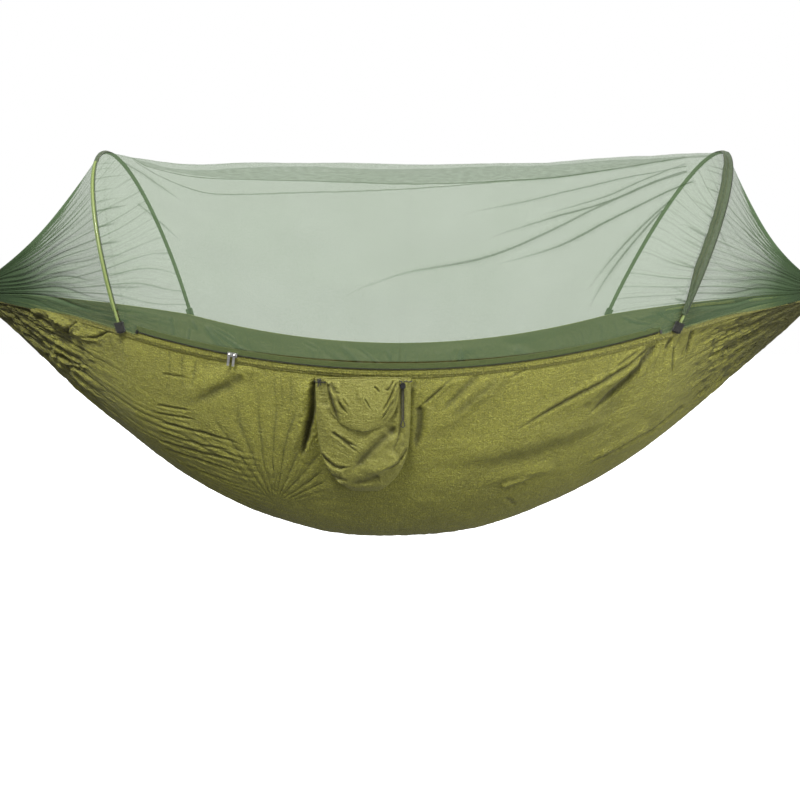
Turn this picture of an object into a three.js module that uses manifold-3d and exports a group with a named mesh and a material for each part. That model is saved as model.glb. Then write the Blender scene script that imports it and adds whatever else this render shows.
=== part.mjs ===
// Pop-up net camping hammock, hung between two points, empty.
// Millimetres, +Z up, +X from the left hanging point to the right one, front (zip side) at -Y.
// The origin is where the left carabiner bears on the strap that holds it.
import * as THREE from 'three';
import { mergeVertices } from 'three/addons/utils/BufferGeometryUtils.js';
import Module from 'manifold-3d';

const wasm = await Module();
wasm.setup();

const DEG = Math.PI / 180;

// ---- driving dimensions ----------------------------------------------------
const GATHER_X = 1240; // from the middle of the bed to where the cloth is gathered
const GATHER_R = 20; // radius of the gathered cloth
const CLOTH_T = 2; // thickness that stands for the cloth and its pleats
const NET_T = 1.5; // thickness that stands for the mesh fabric

const FOOT_X = 708; // hoop feet, each side of the middle
const FOOT_Z = -76; // height of the feet above the gathered ends
const RIM_FOOT_Y = 292; // half width of the bed's edge at the feet
const RIM_OUT = 51; // how much wider the edge is at the middle
const RIM_DROP = 102; // how much lower the edge is at the middle
const RIM_END_Z = 4;
const RIM_TAPER = 0.95; // how the edge narrows between foot and gather
const RIM_RISE = 1.47; // how the edge rises between foot and gather
const EDGE_INSET = 3; // cloth lies this far inside the zip line

const KEEL_DEPTH = 733; // lowest line of the empty bed
const KEEL_END = 22;
const KEEL_FULL = 2.2;
const KEEL_ROUND = 1.3;
const KEEL_SHIFT = -20; // the bed hangs a little lower towards the left

const HOOP_Y = 299; // half distance between the two feet of a hoop
const HOOP_ROD_R = 3.5;
const SLEEVE_R = 6.5;
const SLEEVE_BORE = 4.6;
const HOOPS = [
  { side: 'left', sign: -1, lean: 13.5 * DEG, rise: 489, endSag: 38 },
  { side: 'right', sign: 1, lean: 22.5 * DEG, rise: 515, endSag: 54 },
];
const NET_GAP = 8.5; // the net's edge from a hoop's centre line
const NET_SAG_TOP = 33; // the net between the hoops hangs this much at the top
const NET_DIP = 18; // it drops off quickly just past the left hoop
const NET_DIP_AT = 0.12; // shares of the way to the right hoop
const NET_DIP_WIDTH = 0.1;
const NET_DIP_START = 0.04;

const ZIP_HALF = 672; // half length of the zip
const ZIP_TAPE = 15.5; // width of one tape
const ZIP_MID = 7; // where the two tapes meet, above the bed's edge
const SLIDER_X = -420; // the two sliders meet here when the net is closed
const SLIDER_LENGTH = 12;

const POCKET_X = -89; // middle of the storage pocket
const POCKET_HALF = 119;
const POCKET_TOP = -190;
const POCKET_BOTTOM = -510;
const FLAP_DROP = 136;
const FLAP_HALF = 90;
const POCKET_WALL = 2.4;
const CORD_R = 1.2;
const LOCK_X = 10;
const LOCK_Y = -388;
const LOCK_Z = -205;

const PULL_ANGLE = 24 * DEG; // slope of the hanging line at the ends
const STRAP_WIDTH = 21;
const CARABINER_AT = 148; // from the gathered cloth to the carabiner's bar in the webbing
const CARABINER_REACH = 83; // from that bar to the carabiner's far end
const ROD_R = 4.2; // carabiner rod

const HANG_REACH = CARABINER_AT + CARABINER_REACH - ROD_R;
const HANG_X = GATHER_X + HANG_REACH * Math.cos(PULL_ANGLE);
const HANG_Z = HANG_REACH * Math.sin(PULL_ANGLE);

// ---- materials -------------------------------------------------------------
const OLIVE = new THREE.Color(0.505, 0.505, 0.262);
const GREEN = new THREE.Color(0.392, 0.455, 0.267);
const DARK_GREEN = new THREE.Color(0.2, 0.25, 0.15);
const NET_GREEN = new THREE.Color(0.71, 0.77, 0.69);
const BLACK = new THREE.Color(0.03, 0.03, 0.032);
const SILVER = new THREE.Color(0.75, 0.75, 0.73);
const LIME = new THREE.Color(0.62, 0.68, 0.28);

function finish(color, roughness, metalness = 0) {
  return new THREE.MeshStandardMaterial({ color, roughness, metalness });
}

// ---- solids ----------------------------------------------------------------
function signedVolume(geometry) {
  const p = geometry.attributes.position;
  const index = geometry.index.array;
  const a = new THREE.Vector3();
  const b = new THREE.Vector3();
  const c = new THREE.Vector3();
  let volume = 0;
  for (let i = 0; i < index.length; i += 3) {
    a.fromBufferAttribute(p, index[i]);
    b.fromBufferAttribute(p, index[i + 1]);
    c.fromBufferAttribute(p, index[i + 2]);
    volume += a.dot(b.cross(c)) / 6;
  }
  return volume;
}

// A closed solid through rings of the same even number of points. Each end is capped by a
// ladder from the ring's first and last points inwards, which suits a band or a convex ring.
function loft(rings) {
  const count = rings[0].length;
  const position = rings.flat().flatMap((p) => [p.x, p.y, p.z]);
  const index = [];
  for (let i = 0; i + 1 < rings.length; i++) {
    for (let j = 0; j < count; j++) {
      const a = i * count + j;
      const b = i * count + ((j + 1) % count);
      index.push(a, b, a + count, b, b + count, a + count);
    }
  }
  const last = (rings.length - 1) * count;
  for (let j = 0; j + 1 < count / 2; j++) {
    const k = count - 1 - j;
    index.push(j, k, j + 1, j + 1, k, k - 1);
    index.push(last + j, last + j + 1, last + k, last + j + 1, last + k - 1, last + k);
  }
  const geometry = new THREE.BufferGeometry();
  geometry.setAttribute('position', new THREE.Float32BufferAttribute(position, 3));
  geometry.setIndex(index);
  if (signedVolume(geometry) < 0) {
    geometry.setIndex(index.map((_, i) => index[i - (i % 3) + [0, 2, 1][i % 3]]));
  }
  geometry.computeVertexNormals();
  return geometry;
}

// A sheet of even thickness: surface(u, v) is its outer face, the inner one lies towards inside.
function sheet(surface, uSteps, vSteps, thickness, inside) {
  const rings = [];
  const step = 1e-3;
  for (let i = 0; i <= uSteps; i++) {
    const outer = [];
    const inner = [];
    for (let j = 0; j <= vSteps; j++) {
      const u = i / uSteps;
      const v = j / vSteps;
      const p = surface(u, v);
      const du = surface(u + step, v).sub(surface(u - step, v));
      const dv = surface(u, v + step).sub(surface(u, v - step));
      const normal = du.cross(dv).normalize();
      if (normal.dot(inside(p).sub(p)) < 0) normal.negate();
      outer.push(p);
      inner.unshift(p.clone().addScaledVector(normal, thickness));
    }
    rings.push([...outer, ...inner]);
  }
  return loft(rings);
}

class Route extends THREE.Curve {
  constructor(at) {
    super();
    this.at = at;
  }

  getPoint(t, target = new THREE.Vector3()) {
    return target.copy(this.at(t));
  }
}

function disc(radius, sides, bore = 0) {
  const points = (r) =>
    Array.from({ length: sides }, (_, i) => {
      const a = (i * 2 * Math.PI) / sides;
      return new THREE.Vector2(r * Math.cos(a), r * Math.sin(a));
    });
  const shape = new THREE.Shape(points(radius));
  if (bore > 0) shape.holes.push(new THREE.Path(points(bore)));
  return shape;
}

function tube(curve, radius, steps, sides = 8, bore = 0) {
  const options = { steps, bevelEnabled: false, extrudePath: curve };
  return new THREE.ExtrudeGeometry(disc(radius, sides, bore), options);
}

function solid(geometry) {
  const plain = geometry.clone();
  for (const name of Object.keys(plain.attributes)) {
    if (name !== 'position') plain.deleteAttribute(name);
  }
  const merged = mergeVertices(plain, 1e-4);
  const triVerts = new Uint32Array(merged.index.array);
  const vertProperties = new Float32Array(merged.attributes.position.array);
  return new wasm.Manifold(new wasm.Mesh({ numProp: 3, vertProperties, triVerts }));
}

function fromSolid(manifold) {
  const mesh = manifold.getMesh();
  const geometry = new THREE.BufferGeometry();
  const position = new THREE.BufferAttribute(new Float32Array(mesh.vertProperties), 3);
  geometry.setAttribute('position', position);
  geometry.setIndex(new THREE.BufferAttribute(new Uint32Array(mesh.triVerts), 1));
  geometry.computeVertexNormals();
  return geometry;
}

function box(low, high) {
  const size = high.map((h, i) => h - low[i]);
  const middle = high.map((h, i) => (h + low[i]) / 2);
  return solid(new THREE.BoxGeometry(...size).translate(...middle));
}

// A cylinder between two points on one axis line.
function rod(axis, radius, from, to, centre = [0, 0, 0], sides = 16) {
  const geometry = new THREE.CylinderGeometry(radius, radius, to - from, sides);
  geometry.translate(0, (from + to) / 2, 0);
  if (axis === 'x') geometry.rotateZ(-Math.PI / 2);
  if (axis === 'z') geometry.rotateX(Math.PI / 2);
  return solid(geometry.translate(...centre));
}

function add(parent, name, geometry, material) {
  const mesh = new THREE.Mesh(geometry, material);
  mesh.name = name;
  parent.add(mesh);
  return mesh;
}

// ---- the bed's edge and keel -------------------------------------------------
// Between the hoop feet each long edge is a circular arc in a plane that tilts outwards.
const ARC_RISE = Math.hypot(RIM_OUT, RIM_DROP);
const ARC_TILT = Math.atan2(RIM_OUT, RIM_DROP);
const ARC_R = (FOOT_X ** 2 + ARC_RISE ** 2) / (2 * ARC_RISE);

function rim(x) {
  const reach = Math.abs(x);
  if (reach <= FOOT_X) {
    const fall = Math.sqrt(ARC_R ** 2 - reach ** 2) - (ARC_R - ARC_RISE);
    return {
      y: RIM_FOOT_Y + fall * Math.sin(ARC_TILT),
      z: FOOT_Z - fall * Math.cos(ARC_TILT),
    };
  }
  const left = Math.max(0, (GATHER_X - reach) / (GATHER_X - FOOT_X));
  return {
    y: GATHER_R + (RIM_FOOT_Y - GATHER_R) * left ** RIM_TAPER,
    z: RIM_END_Z + (FOOT_Z - RIM_END_Z) * left ** RIM_RISE,
  };
}

function keel(x) {
  const shifted = x - KEEL_SHIFT * (1 - (x / GATHER_X) ** 2);
  const reach = Math.min(1, Math.abs(shifted) / GATHER_X);
  return -KEEL_END - (KEEL_DEPTH - KEEL_END) * (1 - reach ** KEEL_FULL) ** KEEL_ROUND;
}

function bedWidth(x) {
  return rim(x).y - EDGE_INSET;
}

// How far out the front wall is at a height, at the middle of the bed.
function wallY(z) {
  const depth = rim(0).z - keel(0);
  const down = THREE.MathUtils.clamp((rim(0).z - z) / depth, 0, 1);
  return bedWidth(0) * Math.sqrt(1 - down ** 2);
}

// Places along the bed at which its cloth and its hems are drawn.
function stations() {
  const between = 20;
  const beyond = 7;
  const places = [];
  for (let i = 0; i < beyond; i++) {
    places.push(-GATHER_X + ((GATHER_X - FOOT_X) * i) / beyond);
  }
  for (let i = 0; i <= between; i++) places.push(FOOT_X * (2 * (i / between) - 1));
  const mirrored = places.slice(0, beyond).reverse().map((x) => -x);
  return [...places, ...mirrored];
}

function hammockBody() {
  const aroundSteps = 14;
  const rings = [];
  for (const x of stations()) {
    const width = bedWidth(x);
    const top = rim(x).z;
    const depth = top - keel(x);
    const ring = (inset) =>
      Array.from({ length: aroundSteps + 1 }, (_, j) => {
        const a = (j * Math.PI) / aroundSteps;
        const y = -(width - inset) * Math.cos(a);
        return new THREE.Vector3(x, y, top - (depth - inset) * Math.sin(a));
      });
    rings.push([...ring(0), ...ring(CLOTH_T).reverse()]);
  }
  return loft(rings);
}

// The folded edge of the cloth, a flat band outside the wall.
function edgeHem(sign) {
  const inner = 0.4;
  const outer = 1.7;
  const height = 15;
  const rings = [];
  for (const x of stations()) {
    const y = bedWidth(x);
    const z = rim(x).z;
    const fall = Math.min(height, (z - keel(x)) * 0.4);
    const corner = (out, down) => new THREE.Vector3(x, sign * (y + out), z - down);
    rings.push([corner(inner, 0), corner(outer, 0), corner(outer, fall), corner(inner, fall)]);
  }
  return loft(rings);
}

// ---- net -------------------------------------------------------------------
function hoopPoint(hoop, angle) {
  const up = hoop.rise * Math.sin(angle);
  const x = hoop.sign * (FOOT_X + up * Math.sin(hoop.lean));
  return new THREE.Vector3(x, -HOOP_Y * Math.cos(angle), FOOT_Z + up * Math.cos(hoop.lean));
}

// The pull of the long edges on the net fades out towards its top.
function edgePull(angle) {
  return (1 - Math.sin(angle)) ** 2;
}

function netBetweenHoops(u, v) {
  const lowest = 0.056;
  const angle = lowest + v * (Math.PI - 1.2 * lowest);
  const clear = NET_GAP + 14 * (1 - Math.sin(angle)) ** 6;
  const s = 0.5 + (u - 0.5) * (1 - clear / FOOT_X);
  const from = hoopPoint(HOOPS[0], angle);
  const point = from.lerp(hoopPoint(HOOPS[1], angle), s);
  const across = FOOT_X * (2 * s - 1);
  const edge = rim(across);
  const front = -Math.sign(Math.cos(angle));
  const fromDip = (s - NET_DIP_AT) / NET_DIP_WIDTH;
  const dip = NET_DIP * Math.exp(-(fromDip ** 2)) * Math.min(1, s / NET_DIP_START);
  const sag = Math.sin(Math.PI * s) * NET_SAG_TOP + dip;
  point.y += edgePull(angle) * front * (edge.y - HOOP_Y);
  point.z += edgePull(angle) * (edge.z - FOOT_Z);
  point.y += 0.6 * sag * Math.cos(angle) * Math.sin(angle);
  point.z -= sag * Math.sin(angle) ** 2;
  return point;
}

function netCone(hoop) {
  return (u, v) => {
    const angle = 0.02 + v * (Math.PI - 0.04);
    const low = (1 - Math.sin(angle)) ** 6;
    const start = 0.017 + 0.022 * low;
    const s = start + u * (1 - start);
    const end = new THREE.Vector3(
      hoop.sign * GATHER_X,
      -GATHER_R * Math.cos(angle),
      RIM_END_Z + 2 + GATHER_R * Math.sin(angle)
    );
    const point = hoopPoint(hoop, angle).lerp(end, s);
    const along = FOOT_X + s * (GATHER_X - FOOT_X);
    const edge = rim(along);
    const straightY = HOOP_Y + s * (GATHER_R - HOOP_Y);
    const straightZ = FOOT_Z + s * (RIM_END_Z - FOOT_Z);
    const front = -Math.sign(Math.cos(angle));
    point.y += edgePull(angle) * front * (edge.y - straightY);
    point.z += edgePull(angle) * (edge.z - straightZ) + 1.2;
    const sag = Math.sin(Math.PI * Math.min(s, 1)) * hoop.endSag * Math.sin(angle);
    point.y += sag * Math.cos(angle);
    point.z -= sag * Math.sin(angle);
    return point;
  };
}

const netAxis = (p) => new THREE.Vector3(p.x, 0, Math.min(p.z, 0));

// ---- zip -------------------------------------------------------------------
// A place on the zip: angle along the arc, height above the bed's edge, distance out from it.
const ARC_OUT = new THREE.Vector3(0, -Math.sin(ARC_TILT), -Math.cos(ARC_TILT));
const ARC_AXIS = new THREE.Vector3(0, -Math.cos(ARC_TILT), Math.sin(ARC_TILT));
const ARC_CENTRE = new THREE.Vector3(0, -RIM_FOOT_Y, FOOT_Z).addScaledVector(
  ARC_OUT,
  -(ARC_R - ARC_RISE)
);

function zipPoint(angle, height, out) {
  const radius = ARC_R - height * Math.cos(ARC_TILT) + out * Math.sin(ARC_TILT);
  const along = height * Math.sin(ARC_TILT) + out * Math.cos(ARC_TILT);
  return ARC_CENTRE.clone()
    .addScaledVector(new THREE.Vector3(1, 0, 0), radius * Math.sin(angle))
    .addScaledVector(ARC_OUT, radius * Math.cos(angle))
    .addScaledVector(ARC_AXIS, along);
}

function zipBand(halfLength, low, high, back, front) {
  const steps = 36;
  const limit = Math.asin(halfLength / ARC_R);
  const rings = [];
  for (let i = 0; i <= steps; i++) {
    const angle = limit * (2 * (i / steps) - 1);
    const corners = [[low, back], [high, back], [high, front], [low, front]];
    rings.push(corners.map(([height, out]) => zipPoint(angle, height, out)));
  }
  return loft(rings);
}

// A group at an angle of the zip: X along it, Z up across the tapes, -Y out of the bed.
function zipFrame(angle) {
  const along = new THREE.Vector3(Math.cos(angle), 0, 0).addScaledVector(ARC_OUT, -Math.sin(angle));
  const up = zipPoint(angle, 1, 0).sub(zipPoint(angle, 0, 0));
  const group = new THREE.Group();
  const basis = new THREE.Matrix4().makeBasis(along, up.clone().cross(along), up);
  group.quaternion.setFromRotationMatrix(basis);
  group.position.copy(zipPoint(angle, 0, 0));
  return group;
}

const COIL = { low: 4, high: 10, back: 1.3, front: 3.6 };
const BAIL_Y = -10;

function sliderBody() {
  const half = SLIDER_LENGTH / 2;
  const face = COIL.front + 0.5;
  const plate = box([-half, -face - 2, 1.4], [half, -face, 12.6]);
  const lower = box([-half, -face - 1, 1.4], [half, -COIL.back - 0.2, COIL.low - 0.5]);
  const upper = box([-half, -face - 1, COIL.high + 0.5], [half, -COIL.back - 0.2, 12.6]);
  const bail = box([-4.4, BAIL_Y - 0.8, 6.2], [4.4, -face - 1, 7.8]);
  const opening = box([-3, BAIL_Y + 0.8, 5], [3, -face - 2, 9]);
  return fromSolid(plate.add(lower).add(upper).add(bail.subtract(opening)));
}

// A metal clamp across both tapes at an end of the zip.
function zipStop() {
  return fromSolid(box([-3, -4.6, 2.5], [3, -1.3, 11.5]));
}

// The pull hangs on the slider's bail by a ring and ends in a flat tab.
function pullTab() {
  const ring = rod('x', 3.2, -1, 1, [0, BAIL_Y, 7]);
  const tab = box([-3, BAIL_Y - 0.9, -21], [3, BAIL_Y + 0.9, 4.6]);
  const hole = rod('x', 1.9, -5, 5, [0, BAIL_Y, 7]);
  return fromSolid(ring.add(tab).subtract(hole));
}

// ---- hoops -----------------------------------------------------------------
function hoopCurve(hoop, clear) {
  const start = Math.asin(clear / hoop.rise);
  return new Route((t) => {
    const angle = start + t * (Math.PI - 2 * start);
    return new THREE.Vector3(0, -HOOP_Y * Math.cos(angle), hoop.rise * Math.sin(angle));
  });
}

const CAP_R = 4.7;
const CAP_TOP = 17;

function rodCap(y) {
  const shell = rod('z', CAP_R, -3, CAP_TOP, [0, y, 0]);
  return fromSolid(shell.subtract(rod('z', HOOP_ROD_R + 0.5, -0.4, CAP_TOP + 5, [0, y, 0])));
}

function footPocket(y) {
  const outer = box([-11, y - 6.2, -8], [11, y + 6.2, 20]);
  return fromSolid(outer.subtract(box([-8.6, y - 5.1, -4.5], [8.6, y + 5.1, 30])));
}

// ---- storage pocket ----------------------------------------------------------
// Half width and half thickness of the pocket at a share of its depth, 0 at the mouth.
function pocketSize(share) {
  return {
    half: POCKET_HALF * (1 - 0.72 * share ** 5),
    thick: 14 * Math.sqrt(Math.max(0, 1 - share ** 3)) + 3,
  };
}

function pocketY(share) {
  const z = POCKET_TOP + share * (POCKET_BOTTOM - POCKET_TOP);
  return -(wallY(z) + 4.5 + pocketSize(share).thick);
}

function pocketRing(share, inset, z) {
  const sides = 20;
  const { half, thick } = pocketSize(share);
  return Array.from({ length: sides }, (_, i) => {
    const a = ((i + 0.5) * 2 * Math.PI) / sides;
    const round = (c) => Math.sign(c) * Math.abs(c) ** 0.75;
    const x = POCKET_X + (half - inset) * round(Math.cos(a));
    return new THREE.Vector3(x, pocketY(share) + (thick - inset) * round(Math.sin(a)), z);
  });
}

function pocketBag() {
  const depth = POCKET_TOP - POCKET_BOTTOM;
  const steps = 9;
  const outer = [];
  const inner = [];
  for (let i = 0; i <= steps; i++) {
    const share = i / steps;
    outer.push(pocketRing(share, 0, POCKET_TOP - share * depth));
    const within = share * 0.93;
    inner.push(pocketRing(within, POCKET_WALL, POCKET_TOP - within * depth));
  }
  inner.unshift(pocketRing(0, POCKET_WALL, POCKET_TOP + 10));
  return fromSolid(solid(loft(outer)).subtract(solid(loft(inner))));
}

// A rounded tongue that hangs from the bed's edge over the pocket's mouth.
function pocketFlap() {
  const surface = (u, v) => {
    const share = Math.min(1, Math.max(0, u)) * 0.985;
    const width = FLAP_HALF * (1 - share ** 3.2) ** 0.62;
    const z = POCKET_TOP + 1 - FLAP_DROP * share;
    const deep = (POCKET_TOP - z) / (POCKET_TOP - POCKET_BOTTOM);
    const bulge = pocketY(Math.max(0, deep)) - pocketSize(Math.max(0, deep)).thick;
    const side = 2 * v - 1;
    const x = POCKET_X + width * side;
    return new THREE.Vector3(x, bulge - 7.5 - 4 * (1 - side ** 2), z);
  };
  return sheet(surface, 8, 8, 2, (p) => new THREE.Vector3(p.x, 0, p.z));
}

const RUN = 1.75; // each run of the cord from the lock's middle
const TAIL_STRAIGHT = 80;

// The cord in the mouth's hem: up through the lock, once round the mouth and down again.
function mouthCord() {
  const z = POCKET_TOP - 8;
  const ring = pocketRing(0.02, -CORD_R - 1.8, z);
  const corner = ring.length - 2;
  const around = ring.slice(0, corner).filter((p, i) => i < corner / 2 || p.x < LOCK_X - 13);
  const at = (x, y, height) => new THREE.Vector3(LOCK_X + x, LOCK_Y + y, height);
  const route = [
    at(RUN, 0, LOCK_Z - 7),
    at(RUN, 0, LOCK_Z + 2),
    at(RUN, 0, LOCK_Z + 9),
    at(7, 6, z + 5),
    ...ring.slice(corner),
    ...around,
    at(-7, 6, z + 5),
    at(-RUN, 0, LOCK_Z + 9),
    at(-RUN, 0, LOCK_Z + 2),
    at(-RUN, 0, LOCK_Z - 7),
  ];
  return tube(new THREE.CatmullRomCurve3(route, false, 'centripetal'), CORD_R, 60, 8);
}

// The free loop of cord below the lock.
function cordTail() {
  const top = LOCK_Z - 7.3;
  const points = [
    [RUN, 0], [RUN, -20], [RUN, -45], [RUN, -65], [RUN, -TAIL_STRAIGHT],
    [3.4, -TAIL_STRAIGHT - 5], [4.8, -TAIL_STRAIGHT - 10], [4.2, -TAIL_STRAIGHT - 14.5],
    [0, -TAIL_STRAIGHT - 17],
  ];
  const back = points.slice(0, -1).reverse().map(([x, z]) => [-x, z]);
  const route = [...points, ...back].map(([x, z]) => new THREE.Vector3(LOCK_X + x, LOCK_Y, top + z));
  return tube(new THREE.CatmullRomCurve3(route, false, 'centripetal'), CORD_R, 36, 8);
}

const LOCK = { radius: 7, bore: 5.2, front: -8, back: 7, travel: 3 };

function lockBarrel() {
  const at = [LOCK_X, LOCK_Y, LOCK_Z];
  const shell = rod('y', LOCK.radius, LOCK.front, LOCK.back, at);
  const bore = rod('y', LOCK.bore, LOCK.front - 5, LOCK.back - 1.6, at);
  const slot = box([LOCK_X - 3.7, LOCK_Y - 2, LOCK_Z - 9], [LOCK_X + 3.7, LOCK_Y + 2, LOCK_Z + 9]);
  return fromSolid(shell.subtract(bore).subtract(slot));
}

function lockButton() {
  const at = [LOCK_X, LOCK_Y, LOCK_Z];
  const plunger = rod('y', LOCK.bore - 0.4, LOCK.front - 4.5, LOCK.travel - 0.6, at);
  const reach = LOCK.travel + 1.9;
  const slot = box([LOCK_X - 3.5, LOCK_Y - reach, LOCK_Z - 9], [LOCK_X + 3.5, LOCK_Y + 1.7, LOCK_Z + 9]);
  return fromSolid(plunger.subtract(slot));
}

// A helical wire between the plunger and the closed end of the barrel.
function lockSpring() {
  const turns = 2;
  const curve = new Route((t) => {
    const a = t * turns * 2 * Math.PI;
    const y = LOCK_Y + LOCK.travel + 0.1 + t * 1.3;
    return new THREE.Vector3(LOCK_X + 3.2 * Math.cos(a), y, LOCK_Z + 3.2 * Math.sin(a));
  });
  return tube(curve, 0.25, 28, 5);
}

// ---- gathered ends and carabiners --------------------------------------------
// Local frame of an end: X along the pull, outwards.
function aroundX(profile, sides = 12) {
  const points = profile.map(([x, r]) => new THREE.Vector2(r, x));
  const lathe = new THREE.LatheGeometry(points, sides).rotateZ(-Math.PI / 2);
  return mergeVertices(lathe.deleteAttribute('uv').deleteAttribute('normal'), 1e-4);
}

function gatherBundle() {
  return aroundX([[11, 0], [11, GATHER_R], [34, 15], [58, 15], [76, 19], [80, 16], [80, 0]]);
}

function whipping() {
  const turns = 4;
  const pitch = 4.4;
  const inner = 15.4;
  const profile = [[37, inner]];
  for (let i = 0; i < turns; i++) {
    profile.push([37 + i * pitch + 0.6, inner + 2.4], [37 + (i + 0.8) * pitch, inner + 2.4]);
    profile.push([37 + (i + 1) * pitch, inner + 1.2]);
  }
  profile.push([37 + turns * pitch, inner], [37, inner]);
  return aroundX(profile);
}

// A doubled strap: its legs lie above and below the gathered cloth, and it ends in an eye.
function webbingLoop() {
  const t = 1.8;
  const leg = 19.6;
  const eyeR = 7;
  const eyeX = CARABINER_AT - (eyeR - 0.7 - ROD_R);
  const shape = new THREE.Shape();
  shape.moveTo(30, leg + t);
  shape.lineTo(78, leg + t);
  shape.lineTo(102, t);
  shape.lineTo(124, t);
  shape.lineTo(eyeX - 4, eyeR + t);
  shape.absarc(eyeX, 0, eyeR + t, 115 * DEG, -115 * DEG, true);
  shape.lineTo(124, -t);
  shape.lineTo(102, -t);
  shape.lineTo(78, -leg - t);
  shape.lineTo(30, -leg - t);
  shape.lineTo(30, -leg);
  shape.lineTo(77, -leg);
  shape.lineTo(99, 0);
  shape.lineTo(77, leg);
  shape.lineTo(30, leg);
  shape.closePath();
  const eye = new THREE.Path();
  eye.moveTo(127, 0);
  eye.lineTo(eyeX - 3.4, -eyeR + 0.8);
  eye.absarc(eyeX, 0, eyeR, -115 * DEG, 115 * DEG, false);
  eye.closePath();
  shape.holes.push(eye);
  const options = { depth: STRAP_WIDTH, bevelEnabled: false, curveSegments: 7 };
  const geometry = new THREE.ExtrudeGeometry(shape, options);
  return geometry.translate(0, 0, -STRAP_WIDTH / 2).rotateX(Math.PI / 2);
}

// The carabiner lies in its local XY plane. The webbing holds its straight base bar at x = 0,
// its far end bears on the strap, and the gate closes the side at +Y.
const GATE_FROM = 15;
const GATE_TO = 59;
const GATE_BASE = 15.2;
const GATE_SLOPE = 0.15;

function gateY(x) {
  return GATE_BASE + (x - GATE_FROM) * GATE_SLOPE;
}

function carabinerCurve() {
  const points = [
    [GATE_FROM - 4, gateY(GATE_FROM - 4)], [5.6, 15.2], [1.4, 13.8], [0, 10.6], [0, 3], [0, -3],
    [0, -10.4], [1.4, -13.8], [6, -15.9], [20, -16.6], [40, -17.4], [60, -18.2], [71, -17.8],
    [79, -14], [82.6, -7], [CARABINER_REACH, 0], [80.6, 8], [75, 15.4], [67, 20.6],
    [GATE_TO + 1.4, gateY(GATE_TO)],
  ];
  const places = points.map(([x, y]) => new THREE.Vector3(x, y, 0));
  return new THREE.CatmullRomCurve3(places, false, 'centripetal');
}

const TANG = 1.2; // half thickness of the body's tang inside the gate's fork
const FORK = 1.9; // half width of the gate's fork
const HINGE_X = GATE_FROM + 3;

function carabinerBody() {
  const bar = solid(tube(carabinerCurve(), ROD_R, 36, 8));
  const tip = [0, gateY(GATE_FROM - 2), 0];
  const tang = box([GATE_FROM - 5, tip[1] - 3, -TANG], [HINGE_X + 2.6, gateY(HINGE_X) + 3, TANG]);
  const hole = rod('z', 1.35, -9, 9, [HINGE_X, gateY(HINGE_X), 0]);
  return fromSolid(bar.add(tang).subtract(hole));
}

function gateLine(from, to, radius) {
  const curve = new THREE.LineCurve3(
    new THREE.Vector3(from, gateY(from), 0),
    new THREE.Vector3(to, gateY(to), 0)
  );
  return solid(tube(curve, radius, 1, 8));
}

function carabinerGate() {
  const bar = gateLine(HINGE_X - 3.6, GATE_TO - 1, 3.8);
  const y = gateY(HINGE_X);
  const slot = box([HINGE_X - 9, y - 9, -FORK], [HINGE_X + 6.5, y + 9, FORK]);
  const hole = rod('z', 1.35, -9, 9, [HINGE_X, y, 0]);
  return fromSolid(bar.subtract(slot).subtract(hole));
}

function gatePin() {
  return fromSolid(rod('z', 1.05, -3.6, 3.6, [HINGE_X, gateY(HINGE_X), 0], 10));
}

// The gate's return spring: a flat washer spring round the pin, beside the tang.
function gateSpring() {
  const ring = rod('z', 2.3, TANG + 0.12, FORK - 0.12, [HINGE_X, gateY(HINGE_X), 0], 12);
  return fromSolid(ring.subtract(rod('z', 1.35, -9, 9, [HINGE_X, gateY(HINGE_X), 0])));
}

function endAssembly(side) {
  const end = new THREE.Group();
  end.position.x = side.sign * GATHER_X;
  end.rotation.z = side.sign < 0 ? Math.PI : 0;
  const pull = new THREE.Group();
  pull.rotation.y = -PULL_ANGLE;
  end.add(pull);
  add(pull, `${side.side}_gather_bundle`, gatherBundle(), finish(OLIVE, 0.7));
  add(pull, `${side.side}_whipping_cord`, whipping(), finish(BLACK, 0.8));
  add(pull, `${side.side}_webbing_loop`, webbingLoop(), finish(BLACK, 0.85));
  const carabiner = new THREE.Group();
  carabiner.position.x = CARABINER_AT;
  pull.add(carabiner);
  add(carabiner, `${side.side}_carabiner_body`, carabinerBody(), finish(BLACK, 0.3, 0.9));
  add(carabiner, `${side.side}_carabiner_gate`, carabinerGate(), finish(BLACK, 0.3, 0.9));
  add(carabiner, `${side.side}_gate_pin`, gatePin(), finish(SILVER, 0.3, 1));
  add(carabiner, `${side.side}_gate_spring`, gateSpring(), finish(SILVER, 0.4, 1));
  return end;
}

function hoopAssembly(hoop) {
  const group = new THREE.Group();
  group.position.set(hoop.sign * FOOT_X, 0, FOOT_Z);
  group.rotation.y = hoop.sign * hoop.lean;
  add(group, `${hoop.side}_hoop_rod`, tube(hoopCurve(hoop, 0.6), HOOP_ROD_R, 30, 6), finish(LIME, 0.4));
  const sleeve = tube(hoopCurve(hoop, 34), SLEEVE_R, 30, 6, SLEEVE_BORE);
  add(group, `${hoop.side}_hoop_sleeve`, sleeve, finish(DARK_GREEN, 0.8));
  for (const [place, y] of [['front', -HOOP_Y], ['back', HOOP_Y]]) {
    add(group, `${hoop.side}_${place}_rod_cap`, rodCap(y), finish(BLACK, 0.5));
    add(group, `${hoop.side}_${place}_foot_pocket`, footPocket(y), finish(BLACK, 0.85));
  }
  return group;
}

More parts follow.
